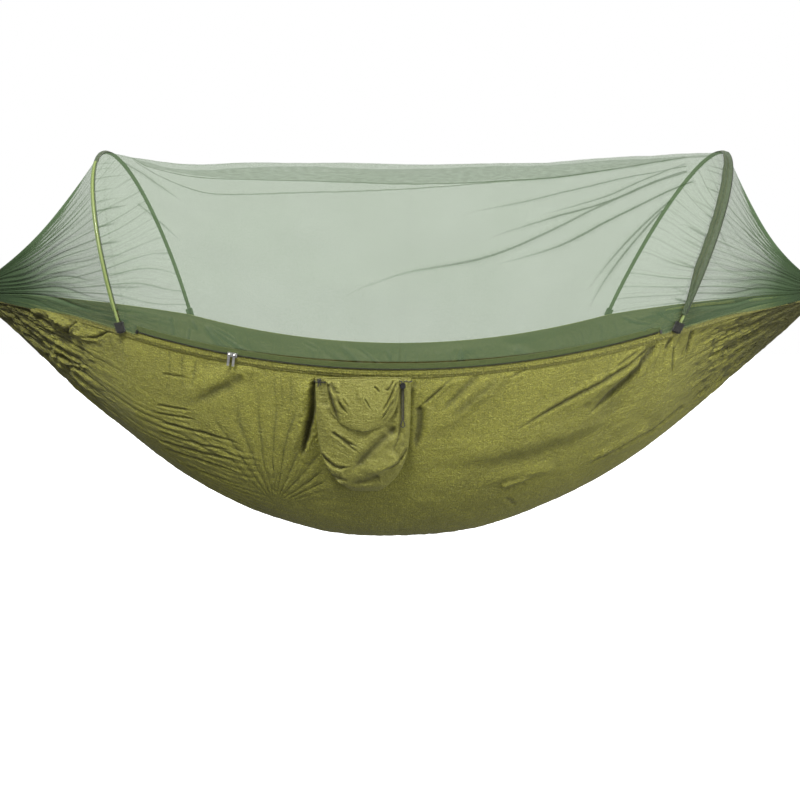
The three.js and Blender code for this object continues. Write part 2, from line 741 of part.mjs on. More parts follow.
function zipAssembly() {
  const group = new THREE.Group();
  const tape = finish(BLACK, 0.8);
  const join = 0.3;
  const lower = zipBand(ZIP_HALF, ZIP_MID - ZIP_TAPE, ZIP_MID - join, 0, 1);
  add(group, 'zip_lower_tape', lower, tape);
  add(group, 'zip_upper_tape', zipBand(ZIP_HALF, ZIP_MID + join, ZIP_MID + ZIP_TAPE, 0, 1), tape);
  add(group, 'zip_coil', zipBand(ZIP_HALF - 8, COIL.low, COIL.high, COIL.back, COIL.front), tape);
  const rest = Math.asin(SLIDER_X / ARC_R);
  const apart = (SLIDER_LENGTH + 1) / 2 / ARC_R;
  for (const [name, sign] of [['left', -1], ['right', 1]]) {
    const stop = zipFrame(sign * Math.asin((ZIP_HALF - 4) / ARC_R));
    add(stop, `zip_${name}_stop`, zipStop(), finish(SILVER, 0.4, 1));
    const slider = zipFrame(rest + sign * apart);
    add(slider, `zip_${name}_slider`, sliderBody(), finish(SILVER, 0.35, 1));
    add(slider, `zip_${name}_pull`, pullTab(), finish(SILVER, 0.35, 1));
    group.add(stop, slider);
  }
  return group;
}

function pocketAssembly() {
  const group = new THREE.Group();
  add(group, 'pocket_bag', pocketBag(), finish(OLIVE, 0.7));
  add(group, 'pocket_flap', pocketFlap(), finish(OLIVE, 0.7));
  add(group, 'pocket_mouth_cord', mouthCord(), finish(BLACK, 0.8));
  add(group, 'pocket_cord_tail', cordTail(), finish(BLACK, 0.8));
  add(group, 'cord_lock_barrel', lockBarrel(), finish(BLACK, 0.4));
  add(group, 'cord_lock_button', lockButton(), finish(BLACK, 0.4));
  add(group, 'cord_lock_spring', lockSpring(), finish(SILVER, 0.4, 1));
  return group;
}

// ---- the whole hammock -------------------------------------------------------
const hammock = new THREE.Group();
hammock.position.set(HANG_X, 0, -HANG_Z);
add(hammock, 'hammock_body', hammockBody(), finish(OLIVE, 0.7));
add(hammock, 'front_edge_hem', edgeHem(-1), finish(OLIVE, 0.7));
add(hammock, 'back_edge_hem', edgeHem(1), finish(GREEN, 0.7));
const net = finish(NET_GREEN, 0.9);
add(hammock, 'net_canopy', sheet(netBetweenHoops, 16, 14, NET_T, netAxis), net);
for (const hoop of HOOPS) {
  add(hammock, `net_${hoop.side}_end`, sheet(netCone(hoop), 8, 14, NET_T, netAxis), net);
  hammock.add(hoopAssembly(hoop), endAssembly(hoop));
}
hammock.add(zipAssembly(), pocketAssembly());

const group = new THREE.Group();
group.add(hammock);
export default group;
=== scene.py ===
"""Looks of a pop-up net camping hammock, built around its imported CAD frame.

Metres, +Z up, +X from the left hanging point to the right one, front (zip side) at -Y.
Shapes are worked out round the middle of the bed, level with its gathered ends, and moved
to their place by MIDDLE as each mesh is made.
"""
import math

import bpy
import numpy as np
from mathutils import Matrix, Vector


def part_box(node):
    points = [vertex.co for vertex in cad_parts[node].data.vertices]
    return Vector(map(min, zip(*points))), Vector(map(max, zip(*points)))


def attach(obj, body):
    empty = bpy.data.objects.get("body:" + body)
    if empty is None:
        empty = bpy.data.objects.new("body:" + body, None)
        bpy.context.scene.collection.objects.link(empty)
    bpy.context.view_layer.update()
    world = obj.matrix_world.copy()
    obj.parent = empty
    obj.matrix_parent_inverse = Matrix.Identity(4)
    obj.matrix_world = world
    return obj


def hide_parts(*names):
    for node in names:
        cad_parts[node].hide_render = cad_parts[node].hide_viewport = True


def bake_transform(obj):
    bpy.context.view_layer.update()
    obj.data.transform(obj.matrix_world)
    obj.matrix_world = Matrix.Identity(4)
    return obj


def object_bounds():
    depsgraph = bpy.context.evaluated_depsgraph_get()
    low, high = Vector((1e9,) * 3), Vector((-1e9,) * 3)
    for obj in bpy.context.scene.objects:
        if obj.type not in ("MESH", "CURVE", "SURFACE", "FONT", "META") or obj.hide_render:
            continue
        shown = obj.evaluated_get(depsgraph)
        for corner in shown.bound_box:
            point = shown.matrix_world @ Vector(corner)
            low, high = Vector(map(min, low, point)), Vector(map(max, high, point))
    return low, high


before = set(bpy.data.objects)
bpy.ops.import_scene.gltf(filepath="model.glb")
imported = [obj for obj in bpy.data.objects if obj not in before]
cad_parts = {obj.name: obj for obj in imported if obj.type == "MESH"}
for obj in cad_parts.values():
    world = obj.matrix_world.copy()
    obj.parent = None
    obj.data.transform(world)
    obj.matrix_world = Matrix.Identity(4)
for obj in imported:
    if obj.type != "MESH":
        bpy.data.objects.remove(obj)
cad_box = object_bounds()

# ---- driving dimensions, as in the CAD source --------------------------------
GATHER_X = 1.240  # from the middle of the bed to where the cloth is gathered
GATHER_R = 0.020
FOOT_X = 0.708  # hoop feet, each side of the middle
FOOT_Z = -0.076
RIM_FOOT_Y = 0.292
RIM_OUT = 0.051
RIM_DROP = 0.102
RIM_END_Z = 0.004
EDGE_INSET = 0.003
KEEL_DEPTH = 0.733
KEEL_END = 0.022
KEEL_SHIFT = -0.020
HOOP_Y = 0.299
HOOP_ROD_R = 0.0035
HOOPS = {
    "left": {"sign": -1, "lean": math.radians(13.5), "rise": 0.489, "end_sag": 0.038},
    "right": {"sign": 1, "lean": math.radians(22.5), "rise": 0.515, "end_sag": 0.054},
}
ZIP_HALF = 0.672
POCKET_X = -0.089
POCKET_HALF = 0.119
POCKET_TOP = -0.190
POCKET_BOTTOM = -0.510
FLAP_DROP = 0.136
FLAP_HALF = 0.090
NET_SAG = 0.033  # of the panel between the hoops, at its middle
NET_DIP = 0.018  # more sag beside the left hoop
NET_DIP_AT, NET_DIP_WIDTH, NET_DIP_START = 0.12, 0.1, 0.04
LOCK = np.array([0.010, -0.388, -0.205])
PULL_ANGLE = math.radians(24)
CARABINER_AT = 0.148
ROD_R = 0.0042

bed_low, bed_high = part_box("hammock_body")
MIDDLE = np.array([(bed_low.x + bed_high.x) / 2, 0.0, bed_high.z - RIM_END_Z])

ARC_RISE = math.hypot(RIM_OUT, RIM_DROP)
ARC_TILT = math.atan2(RIM_OUT, RIM_DROP)
ARC_R = (FOOT_X**2 + ARC_RISE**2) / (2 * ARC_RISE)


def rim(x):
    """Half width and height of the bed's long edges."""
    reach = np.minimum(np.abs(x), FOOT_X)
    fall = np.sqrt(ARC_R**2 - reach**2) - (ARC_R - ARC_RISE)
    left = np.clip((GATHER_X - np.abs(x)) / (GATHER_X - FOOT_X), 0, 1)
    between = np.abs(x) <= FOOT_X
    y = np.where(between, RIM_FOOT_Y + fall * math.sin(ARC_TILT),
                 GATHER_R + (RIM_FOOT_Y - GATHER_R) * left**0.95)
    z = np.where(between, FOOT_Z - fall * math.cos(ARC_TILT),
                 RIM_END_Z + (FOOT_Z - RIM_END_Z) * left**1.47)
    return y, z


def keel(x):
    """Height of the bed's lowest line."""
    shifted = x - KEEL_SHIFT * (1 - (x / GATHER_X) ** 2)
    reach = np.minimum(1, np.abs(shifted) / GATHER_X)
    return -KEEL_END - (KEEL_DEPTH - KEEL_END) * (1 - reach**2.2) ** 1.3


def wall_y(z):
    """How far out the front wall is at a height, at the middle of the bed."""
    width, top = rim(0.0)
    down = np.clip((top - z) / (top - keel(0.0)), 0, 1)
    return (width - EDGE_INSET) * np.sqrt(1 - down**2)


# ---- curves, noise and profiles ------------------------------------------------
def smooth(value, low=0.0, high=1.0):
    t = np.clip((value - low) / (high - low), 0, 1)
    return t * t * (3 - 2 * t)


def rise_fall(value, low, full, ending, high):
    """0 below low, 1 from full to ending, 0 above high."""
    return smooth(value, low, full) * (1 - smooth(value, ending, high))


def ripple(u, v, seed=0):
    """Smooth gradient noise of two coordinates, about -1 to 1."""
    size = 128
    angles = np.random.default_rng(seed).uniform(0, 2 * np.pi, (size, size))
    low_u, low_v = np.floor(u).astype(int), np.floor(v).astype(int)
    part_u, part_v = u - low_u, v - low_v

    def corner(du, dv):
        angle = angles[(low_u + du) % size, (low_v + dv) % size]
        return np.cos(angle) * (part_u - du) + np.sin(angle) * (part_v - dv)

    su, sv = smooth(part_u), smooth(part_v)
    near = corner(0, 0) * (1 - su) + corner(1, 0) * su
    far = corner(0, 1) * (1 - su) + corner(1, 1) * su
    return 1.5 * (near * (1 - sv) + far * sv)


def crumple(u, v, seed=0, octaves=3):
    """Ridged noise, 0 in its sharp valleys and about 1 on its ridges."""
    total = 0
    for k in range(octaves):
        total = total + (0.5**k) * np.abs(ripple(u * 2**k, v * 2**k, seed + k))
    return total


def pleat(t):
    """Round ridges with sharp valleys between, one each unit of t."""
    return np.abs(np.sin(np.pi * t)) ** 0.8


def catmull(points, count):
    """A smooth line through points, as many places as count."""
    points = np.asarray(points, float)
    ends = np.vstack([2 * points[0] - points[1], points, 2 * points[-1] - points[-2]])
    gaps = np.sqrt(np.linalg.norm(np.diff(ends, axis=0), axis=1))
    knots = np.concatenate([[0], np.cumsum(gaps)])
    places = []
    for t in np.linspace(knots[1], knots[-2] - 1e-9, count):
        i = int(np.clip(np.searchsorted(knots, t, "right") - 1, 1, len(points) - 1))
        k, p = knots[i - 1:i + 3], ends[i - 1:i + 3]
        a = [((k[j + 1] - t) * p[j] + (t - k[j]) * p[j + 1]) / (k[j + 1] - k[j]) for j in range(3)]
        b = [((k[j + 2] - t) * a[j] + (t - k[j]) * a[j + 1]) / (k[j + 2] - k[j]) for j in range(2)]
        places.append(((k[2] - t) * b[0] + (t - k[1]) * b[1]) / (k[2] - k[1]))
    return np.array(places)


def unit(vectors):
    return vectors / np.maximum(np.linalg.norm(vectors, axis=-1, keepdims=True), 1e-12)


def ridge_along(across, along, width):
    """A fold's cross-section that falls gently on one side and steeply on the other."""
    wide = np.where(across < 0, 2.4 * width, width)
    return np.exp(-((across / wide) ** 2)) * rise_fall(along, 0, 0.12, 0.55, 1)


def folds(x, z, lines):
    """Height of the folds in a list of (start, end, bow, width, height) at places x, z."""
    total = np.zeros_like(x)
    for (sx, sz), (ex, ez), bow, width, height in lines:
        dx, dz = ex - sx, ez - sz
        length = math.hypot(dx, dz)
        down = -1 if dx > 0 else 1
        along = ((x - sx) * dx + (z - sz) * dz) / length**2
        across = down * (-(x - sx) * dz + (z - sz) * dx) / length
        across = across - bow * 4 * along * (1 - along)
        waver = 0.0016 * np.sin(along * length * 60 + 40 * sx)
        across = across + waver + 0.0008 * np.sin(along * length * 173)
        total += height * ridge_along(across, along, width)
    return total


def creases(x, z, lines):
    """Sharp valleys in pulled cloth, from (points, half width, depth, darkness): how far they
    stand out, each with a low lip beside it, and how much painted shade lies in each valley."""
    height, dark = np.zeros_like(x), np.zeros_like(x)
    for points, width, depth, darkness in lines:
        line = catmull([(a, b, 0) for a, b in points], 4 * len(points))[:, :2]
        low, high = line.min(0) - 4.5 * width, line.max(0) + 4.5 * width
        near = (x > low[0]) & (x < high[0]) & (z > low[1]) & (z < high[1])
        away, along = near_line(x[near], z[near], line)
        taper = rise_fall(along, 0, 0.10, 0.6, 1)
        ragged = 1 + 0.3 * ripple(x[near] * 90, z[near] * 90, 19) * (width < 0.008)
        thin = width * (0.4 + 0.6 * taper) * ragged
        valley = np.exp(-((away / thin) ** 2)) * taper
        lip = np.exp(-(((away - 2.3 * thin) / (1.2 * thin)) ** 2)) * taper
        height[near] += depth * (0.3 * lip - valley)
        dark[near] = np.maximum(dark[near], darkness * valley)
    return height, dark


def near_line(u, v, points):
    """Distance from each place to a line of points, and how far along the line it is."""
    best, place = np.full(u.shape, 1e9), np.zeros(u.shape)
    points = np.asarray(points, float)
    lengths = np.linalg.norm(np.diff(points, axis=0), axis=1)
    gone = 0.0
    for (a, b), length in zip(zip(points[:-1], points[1:]), lengths):
        t = np.clip(((u - a[0]) * (b - a)[0] + (v - a[1]) * (b - a)[1]) / length**2, 0, 1)
        away = np.hypot(u - a[0] - t * (b - a)[0], v - a[1] - t * (b - a)[1])
        place = np.where(away < best, (gone + t * length) / lengths.sum(), place)
        best = np.minimum(best, away)
        gone += length
    return best, place


# ---- meshes ----------------------------------------------------------------------
def join_body(made, body, node=None):
    """Fix a piece to a body, and hide the CAD node that it stands for, if any."""
    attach(made, body)
    if node:
        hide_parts(node)


def mesh_object(name, points, faces, materials, marks=None, inner=None):
    """A smooth mesh at its place. marks are point attributes; inner says which faces use
    the second material."""
    mesh = bpy.data.meshes.new(name)
    points = (np.asarray(points) + MIDDLE).astype(np.float32)
    if isinstance(faces, np.ndarray):
        mesh.vertices.add(len(points))
        mesh.vertices.foreach_set("co", points.ravel())
        mesh.loops.add(faces.size)
        mesh.loops.foreach_set("vertex_index", faces.astype(np.int32).ravel())
        mesh.polygons.add(len(faces))
        mesh.polygons.foreach_set("loop_start", np.arange(0, faces.size, faces.shape[1], dtype=np.int32))
        mesh.update(calc_edges=True)
        mesh.validate()
    else:
        mesh.from_pydata(points.tolist(), [], faces)
    for material in materials:
        mesh.materials.append(material)
    mesh.polygons.foreach_set("use_smooth", np.ones(len(mesh.polygons), bool))
    if inner is not None:
        mesh.polygons.foreach_set("material_index", np.asarray(inner, np.int32))
    for key, values in (marks or {}).items():
        values = np.asarray(values, np.float32)
        if values.ndim == 1:
            mesh.attributes.new(key, "FLOAT", "POINT").data.foreach_set("value", values)
        else:
            mesh.attributes.new(key, "FLOAT_VECTOR", "POINT").data.foreach_set("vector", values.ravel())
    mesh.update()
    made = bpy.data.objects.new(name, mesh)
    bpy.context.scene.collection.objects.link(made)
    return made


def grid_quads(rows, columns, wrap=False):
    i, j = np.meshgrid(np.arange(rows - 1), np.arange(columns if wrap else columns - 1), indexing="ij")
    k = (j + 1) % columns
    quads = np.stack([i * columns + j, (i + 1) * columns + j, (i + 1) * columns + k, i * columns + k], -1)
    return quads.reshape(-1, 4)


def tube_faces(rows, columns):
    """The faces of a closed tube: its wall and a flat cap at each end."""
    last = (rows - 1) * columns
    caps = [list(range(columns)), [last + j for j in range(columns - 1, -1, -1)]]
    return grid_quads(rows, columns, True).tolist() + caps


def grid_normals(grid, wrap=False):
    down = np.gradient(grid, axis=0)
    if wrap:
        round_it = (np.roll(grid, -1, 1) - np.roll(grid, 1, 1)) / 2
    else:
        round_it = np.gradient(grid, axis=1)
    return unit(np.cross(down, round_it))


def closed_sheet(name, grid, thickness, materials, outward, wrap=False, marks=None):
    """A thin closed solid about a grid of points. outward gives a direction at the grid's
    middle that its first material faces; a second material is for the other face."""
    rows, columns = grid.shape[:2]
    normals = grid_normals(grid, wrap)
    if np.dot(normals[rows // 2, columns // 2], outward) < 0:
        normals = -normals
        flip = True
    else:
        flip = False
    half = thickness / 2
    points = np.concatenate([(grid + half * normals).reshape(-1, 3), (grid - half * normals).reshape(-1, 3)])
    quads = grid_quads(rows, columns, wrap)
    far = rows * columns
    under = quads[:, ::-1] + far
    if wrap:
        first, last = list(range(columns)), [(rows - 1) * columns + j for j in range(columns)]
        loops = [first + first[:1], (last + last[:1])[::-1]]
    else:
        around = list(range(columns))
        around += [i * columns + columns - 1 for i in range(1, rows)]
        around += [(rows - 1) * columns + j for j in range(columns - 2, -1, -1)]
        around += [i * columns for i in range(rows - 2, -1, -1)]
        loops = [around]
    edge = [[a, b, b + far, a + far] for loop in loops for a, b in zip(loop[:-1], loop[1:])]
    faces = np.concatenate([quads, under, np.array(edge)])
    if flip:
        faces = faces[:, ::-1]
    inner = np.zeros(len(faces), int)
    if len(materials) > 1:
        inner[len(quads):2 * len(quads)] = 1
    doubled = {key: np.concatenate([v.reshape(far, -1)] * 2).squeeze() for key, v in (marks or {}).items()}
    return mesh_object(name, points, faces, materials, doubled, inner)


class Solids:
    """Several closed solids that make one mesh."""

    def __init__(self):
        self.points = []
        self.faces = []
        self.count = 0

    def add(self, points, faces):
        self.points.append(np.asarray(points, float))
        self.faces += [[int(k) + self.count for k in face] for face in faces]
        self.count += len(points)

    def sweep(self, path, section, side, closed=False):
        """Rings of a section, in metres, set square to a path. side is the direction of the
        section's first axis; section is (points, 2), or one for each place on the path."""
        path = np.asarray(path, float)
        if closed:
            tangent = unit(np.roll(path, -1, 0) - np.roll(path, 1, 0))
        else:
            tangent = unit(np.gradient(path, axis=0))
        side = np.broadcast_to(np.asarray(side, float), path.shape)
        side = unit(side - tangent * np.sum(side * tangent, 1, keepdims=True))
        other = np.cross(tangent, side)
        section = np.asarray(section, float)
        if section.ndim == 2:
            section = np.broadcast_to(section, (len(path), *section.shape))
        rings = path[:, None] + section[..., :1] * side[:, None] + section[..., 1:] * other[:, None]
        rows, columns = rings.shape[:2]
        if closed:
            rings = np.concatenate([rings, rings[:1]])
            faces = [[k % (rows * columns) for k in face] for face in grid_quads(rows + 1, columns, True)]
            rings = rings[:-1]
        else:
            faces = tube_faces(rows, columns)
        self.add(rings.reshape(-1, 3), faces)

    def lathe(self, profile, centre, axis, side, steps=32):
        """A closed profile of (along the axis, radius) turned about an axis line."""
        axis, side = unit(np.asarray(axis, float)), unit(np.asarray(side, float))
        other = np.cross(axis, side)
        turn = np.arange(steps) * 2 * np.pi / steps
        round_it = np.cos(turn)[:, None] * side + np.sin(turn)[:, None] * other
        rings = [np.asarray(centre) + a * axis + r * round_it for a, r in profile]
        points = np.concatenate(rings)
        faces = tube_faces(len(profile), steps)
        if profile[0] == profile[-1]:
            last = (len(profile) - 1) * steps
            points = points[:last]
            faces = [[k % last for k in face] for face in faces[:-2]]
        self.add(points, faces)

    def made(self, name, material, place=None):
        points = np.concatenate(self.points)
        if place is not None:
            points = place(points)
        return mesh_object(name, points, self.faces, [material], {"flat": points})


def soft_square(turn, power):
    """A circle's two coordinates pushed out towards a square's, the more the lower power is."""
    flat_x = np.sign(np.cos(turn)) * np.abs(np.cos(turn)) ** power
    flat_y = np.sign(np.sin(turn)) * np.abs(np.sin(turn)) ** power
    return flat_x, flat_y


def circle(radius, sides=12, squash=1.0):
    turn = np.arange(sides) * 2 * np.pi / sides
    return np.stack([radius * np.cos(turn), radius * squash * np.sin(turn)], 1)


def rounded(width, height, radius, steps=3):
    """A rounded rectangle of section points about the origin."""
    points = []
    for k, (sx, sy) in enumerate([(1, 1), (-1, 1), (-1, -1), (1, -1)]):
        for step in range(steps + 1):
            turn = math.radians(90 * (k + step / steps))
            x = sx * (width / 2 - radius) + radius * math.cos(turn)
            points.append((x, sy * (height / 2 - radius) + radius * math.sin(turn)))
    return np.array(points)


def stitch_row(solids, line, outward, length=0.0032, gap=0.0016, radius=0.00032):
    """Thread stitches along a line, each a short rounded bar that lies on the cloth."""
    line = np.asarray(line, float)
    steps = np.linalg.norm(np.diff(line, axis=0), axis=1)
    gone = np.concatenate([[0], np.cumsum(steps)])
    outward = np.broadcast_to(np.asarray(outward, float), line.shape)
    shares = np.array([0.0, 0.15, 0.85, 1.0])
    lift = np.array([-0.3, 0.8, 0.8, -0.3]) * radius
    section = circle(radius, 5)
    for start in np.arange(0, gone[-1] - length, length + gap):
        at = start + shares * length
        path = np.stack([np.interp(at, gone, line[:, k]) for k in range(3)], 1)
        normal = unit(np.stack([np.interp(at, gone, outward[:, k]) for k in range(3)], 1))
        solids.sweep(path + lift[:, None] * normal, section, normal)


def stitches(name, rows, body, material, place=None):
    """A piece of thread stitches: rows are (line, outward, length, gap, radius)."""
    thread = Solids()
    for row in rows:
        stitch_row(thread, *row)
    made = thread.made(name, material, place)
    join_body(made, body)
    return made


# ---- materials ---------------------------------------------------------------------
def colour(red, green, blue):
    """A linear colour from 8-bit sRGB values."""
    values = [c / 255 for c in (red, green, blue)]
    return (*[c / 12.92 if c <= 0.04045 else ((c + 0.055) / 1.055) ** 2.4 for c in values], 1)


class Shader:
    """A Principled material and the texture nodes that feed it."""

    def __init__(self, name, **values):
        self.material = bpy.data.materials.new(name)
        self.material.use_nodes = True
        self.tree = self.material.node_tree
        self.surface = self.tree.nodes["Principled BSDF"]
        self.set(self.surface, {k.replace("_", " "): v for k, v in values.items()})

    def set(self, node, values):
        for key, value in values.items():
            if isinstance(value, bpy.types.NodeSocket):
                self.tree.links.new(value, node.inputs[key])
            else:
                node.inputs[key].default_value = value

    def node(self, kind, values=None, **settings):
        made = self.tree.nodes.new("ShaderNode" + kind)
        for key, value in settings.items():
            setattr(made, key, value)
        self.set(made, values or {})
        return made

    def mark(self, name, output="Vector"):
        return self.node("Attribute", attribute_name=name).outputs[output]

    def place(self):
        return self.node("TexCoord").outputs["Object"]

    def stretched(self, vector, *scale):
        values = {0: vector, 1: scale}
        return self.node("VectorMath", values, operation="MULTIPLY").outputs[0]

    def noise(self, vector, scale, detail=3.0, roughness=0.5, distortion=0.0):
        values = {"Vector": vector, "Scale": scale, "Detail": detail}
        values.update({"Roughness": roughness, "Distortion": distortion})
        return self.node("TexNoise", values).outputs["Fac"]

    def bands(self, vector, scale, direction="X", distortion=0.0):
        values = {"Vector": vector, "Scale": scale, "Distortion": distortion}
        return self.node("TexWave", values, bands_direction=direction).outputs["Fac"]

    def math(self, operation, *values):
        numbered = dict(enumerate(values))
        return self.node("Math", numbered, operation=operation).outputs[0]

    def ramp(self, factor, *stops):
        made = self.node("ValToRGB", {"Fac": factor})
        elements = made.color_ramp.elements
        while len(elements) < len(stops):
            elements.new(0.5)
        for element, (position, value) in zip(elements, stops):
            element.position = position
            element.color = value
        return made.outputs["Color"]

    def between(self, factor, low, high):
        values = {"Value": factor, "To Min": low, "To Max": high}
        return self.node("MapRange", values).outputs["Result"]

    def mix(self, factor, a, b):
        made = self.node("Mix", data_type="RGBA")
        self.set(made, {0: factor, 6: a, 7: b})
        return made.outputs[2]

    def paint(self, value):
        self.set(self.surface, {"Base Color": value})

    def rough(self, factor, low, high):
        self.set(self.surface, {"Roughness": self.between(factor, low, high)})

    def bump(self, height, distance, strength=1.0):
        values = {"Height": height, "Distance": distance, "Strength": strength}
        before = self.surface.inputs["Normal"]
        if before.is_linked:
            values["Normal"] = before.links[0].from_socket
        self.set(self.surface, {"Normal": self.node("Bump", values).outputs["Normal"]})


def ridged(shader, vector, scale, detail=2.0, distortion=0.4):
    """Noise folded about its middle, as creases in crumpled cloth are."""
    value = shader.noise(vector, scale, detail, 0.5, distortion)
    return shader.math("ABSOLUTE", shader.math("SUBTRACT", value, 0.5))


def nylon(name, light, dark, crinkle=1.0):
    """Thin crinkled nylon taffeta: mottled colour, painted shade in the valleys of its fine creases,
    painted glints on their ridges and specks, painted shade in the gaps of folds, and a faint ripstop grid."""
    s = Shader(name, Sheen_Weight=0.08, Specular_IOR_Level=0.45)
    flat = s.mark("flat")
    pull = s.mark("pull", "Fac")
    painted_shade = s.mark("painted_shade", "Fac")
    patches = s.noise(flat, 4.0, 4.0)
    wide = ridged(s, s.stretched(flat, 1.0, 1.5, 1.0), 60.0, 4.0)
    fine = ridged(s, s.stretched(flat, 0.8, 1.4, 1.0), 200.0, 3.0)
    drawn = ridged(s, s.stretched(flat, 12.0, 120.0, 1.0), 1.0, 3.0)
    specks = s.noise(flat, 330.0, 2.0)
    # Painted shade and highlight: crease valleys darken the tone, and crease ridges and specks reach the
    # painted glint at the ramp's top.
    creases = s.math("MULTIPLY_ADD", fine, 1.5, s.math("MULTIPLY", wide, 0.6))
    tone = s.math("MULTIPLY_ADD", patches, 0.20, s.math("MULTIPLY", creases, crinkle))
    tone = s.math("MULTIPLY_ADD", specks, 0.30, tone)
    painted_glint = tuple(min(1, 1.45 * c) for c in light[:3])
    paint = s.ramp(tone, (0.22, dark), (0.56, light), (0.80, (*painted_glint, 1)))
    # Painted shade: where the mesh's shade mark is high, the colour goes towards a darker copy of the dark
    # tone.
    shade = tuple(0.40 * c for c in dark[:3])
    s.paint(s.mix(s.math("MULTIPLY", painted_shade, 0.8), paint, (*shade, 1)))
    s.rough(specks, 0.38, 0.56)
    s.bump(wide, 0.0070 * crinkle, 0.9)
    s.bump(fine, 0.0064 * crinkle, 0.9)
    s.bump(s.math("MULTIPLY", drawn, pull), 0.013 * crinkle, 1.0)
    grid = s.math("MAXIMUM", s.bands(flat, 42.0, "X"), s.bands(flat, 42.0, "Y"))
    s.bump(s.math("POWER", grid, 14.0), 0.00025, 0.4)
    return s.material


def net_cloth(name):
    """Fine mosquito mesh: pale and see-through, closer where it is doubled, and darker there, partly from
    more thread and partly as painted shade between the layers.
    """
    s = Shader(name, Roughness=0.75, Specular_IOR_Level=0.2, Sheen_Weight=0.05)
    density = s.mark("closeness", "Fac")
    flat = s.mark("flat")
    grain = s.noise(flat, 260.0, 2.0)
    drift = s.noise(flat, 5.0, 2.0)
    pale, middling, deep = colour(120, 146, 107), colour(78, 102, 66), colour(38, 56, 30)
    # The colour darkens with closeness more than thread alone would: painted shade inside bunched, doubled
    # mesh.
    s.paint(s.ramp(density, (0.0, pale), (0.3, middling), (1.0, deep)))
    even = s.math("MULTIPLY_ADD", grain, 0.10, s.math("MULTIPLY_ADD", drift, 0.05, NET_COVER - 0.075))
    s.set(s.surface, {"Alpha": s.math("MULTIPLY_ADD", density, 0.68, even)})
    s.bump(s.noise(flat, 70.0, 3.0), 0.001, 0.5)
    return s.material


def woven(name, light, dark, across, along, roughness=0.8, depth=0.0004):
    """Webbing or tape: fine ribs across its length under a slower weave along it."""
    s = Shader(name, Specular_IOR_Level=0.3, Sheen_Weight=0.2)
    flat = s.mark("flat")
    ribs = s.bands(flat, across, "X", 0.3)
    rows = s.bands(flat, along, "Y", 0.3)
    weave = s.math("MULTIPLY", ribs, rows)
    tone = s.math("MULTIPLY_ADD", s.noise(flat, 300.0, 2.0), 0.5, s.math("MULTIPLY", weave, 0.5))
    s.paint(s.ramp(tone, (0.2, dark), (0.75, light)))
    s.rough(tone, roughness - 0.1, roughness + 0.1)
    s.bump(weave, depth, 0.8)
    return s.material


def braided(name, light, dark):
    s = Shader(name, Roughness=0.7, Sheen_Weight=0.25)
    place = s.place()
    strands = s.math("MULTIPLY", s.bands(place, 190.0, "DIAGONAL", 0.5), s.bands(place, 260.0, "Z", 1.0))
    s.paint(s.ramp(strands, (0.1, dark), (0.8, light)))
    s.bump(strands, 0.0004, 0.8)
    return s.material


def moulded(name, light, dark, roughness=0.4, grain=900.0):
    """Plastic or rubber with a fine spark-eroded grain."""
    s = Shader(name)
    place = s.place()
    fine = s.noise(place, grain, 2.0)
    s.paint(s.ramp(s.noise(place, 60.0, 3.0), (0.3, dark), (0.7, light)))
    s.rough(fine, roughness - 0.08, roughness + 0.12)
    s.bump(fine, 0.00012, 0.6)
    return s.material


def metal(name, light, dark, roughness, brushed=400.0):
    """Metal with faint brushing and patches of handling wear."""
    s = Shader(name, Metallic=1.0)
    place = s.place()
    wear = s.noise(place, 90.0, 4.0, 0.6)
    lines = s.noise(s.stretched(place, 0.12, 1.0, 1.0), brushed * 4, 2.0)
    s.paint(s.ramp(wear, (0.35, dark), (0.7, light)))
    dull = s.math("MULTIPLY_ADD", wear, 0.5, s.math("MULTIPLY", lines, 0.5))
    s.rough(dull, roughness - 0.1, roughness + 0.15)
    s.bump(lines, 0.00005, 0.4)
    return s.material


def fibreglass(name):
    s = Shader(name, Coat_Weight=0.15, Coat_Roughness=0.15, Specular_IOR_Level=0.5)
    fibres = s.noise(s.stretched(s.place(), 1.0, 1.0, 0.15), 900.0, 2.0)
    s.paint(s.ramp(fibres, (0.3, colour(108, 124, 62)), (0.7, colour(146, 162, 94))))
    s.rough(fibres, 0.28, 0.45)
    s.bump(fibres, 0.0001, 0.5)
    return s.material


NET_COVER = 0.217  # share of one face of the mesh that is thread

OLIVE = nylon("olive_nylon", colour(161, 160, 64), colour(104, 103, 37))
POCKET_OLIVE = nylon("pocket_nylon", colour(166, 165, 80), colour(118, 116, 48), 0.8)
# The inside face is the same olive nylon, painted darker as the shade inside the bed.
SHADED_INNER = nylon("inner_nylon_shaded", colour(104, 95, 22), colour(78, 71, 14), 0.4)
SLEEVE = nylon("sleeve_nylon", colour(90, 106, 70), colour(58, 72, 46), 0.5)
BINDING = nylon("pale_binding", colour(128, 150, 92), colour(96, 116, 62), 0.4)
HEM = nylon("hem_nylon", colour(152, 151, 68), colour(100, 98, 40), 0.9)
NET = net_cloth("net_mesh")
TAPE_GREEN = woven("zip_tape_green", colour(92, 104, 56), colour(70, 84, 42), 90, 240)
WEBBING = woven("black_webbing", colour(46, 46, 46), colour(16, 16, 17), 95, 320, 0.75)
BLACK_CLOTH = woven("black_cordura", colour(58, 58, 52), colour(26, 26, 24), 320, 320, 0.8)
COIL = moulded("zip_coil_nylon", colour(44, 46, 38), colour(26, 28, 22), 0.45)
THREAD = moulded("thread", colour(112, 112, 58), colour(80, 80, 36), 0.6, 2000.0)
BLACK_THREAD = moulded("black_thread", colour(70, 70, 68), colour(40, 40, 40), 0.6, 2000.0)
CORD = braided("black_cord", colour(62, 62, 60), colour(18, 18, 18))
PLASTIC = moulded("black_plastic", colour(42, 42, 43), colour(24, 24, 25))
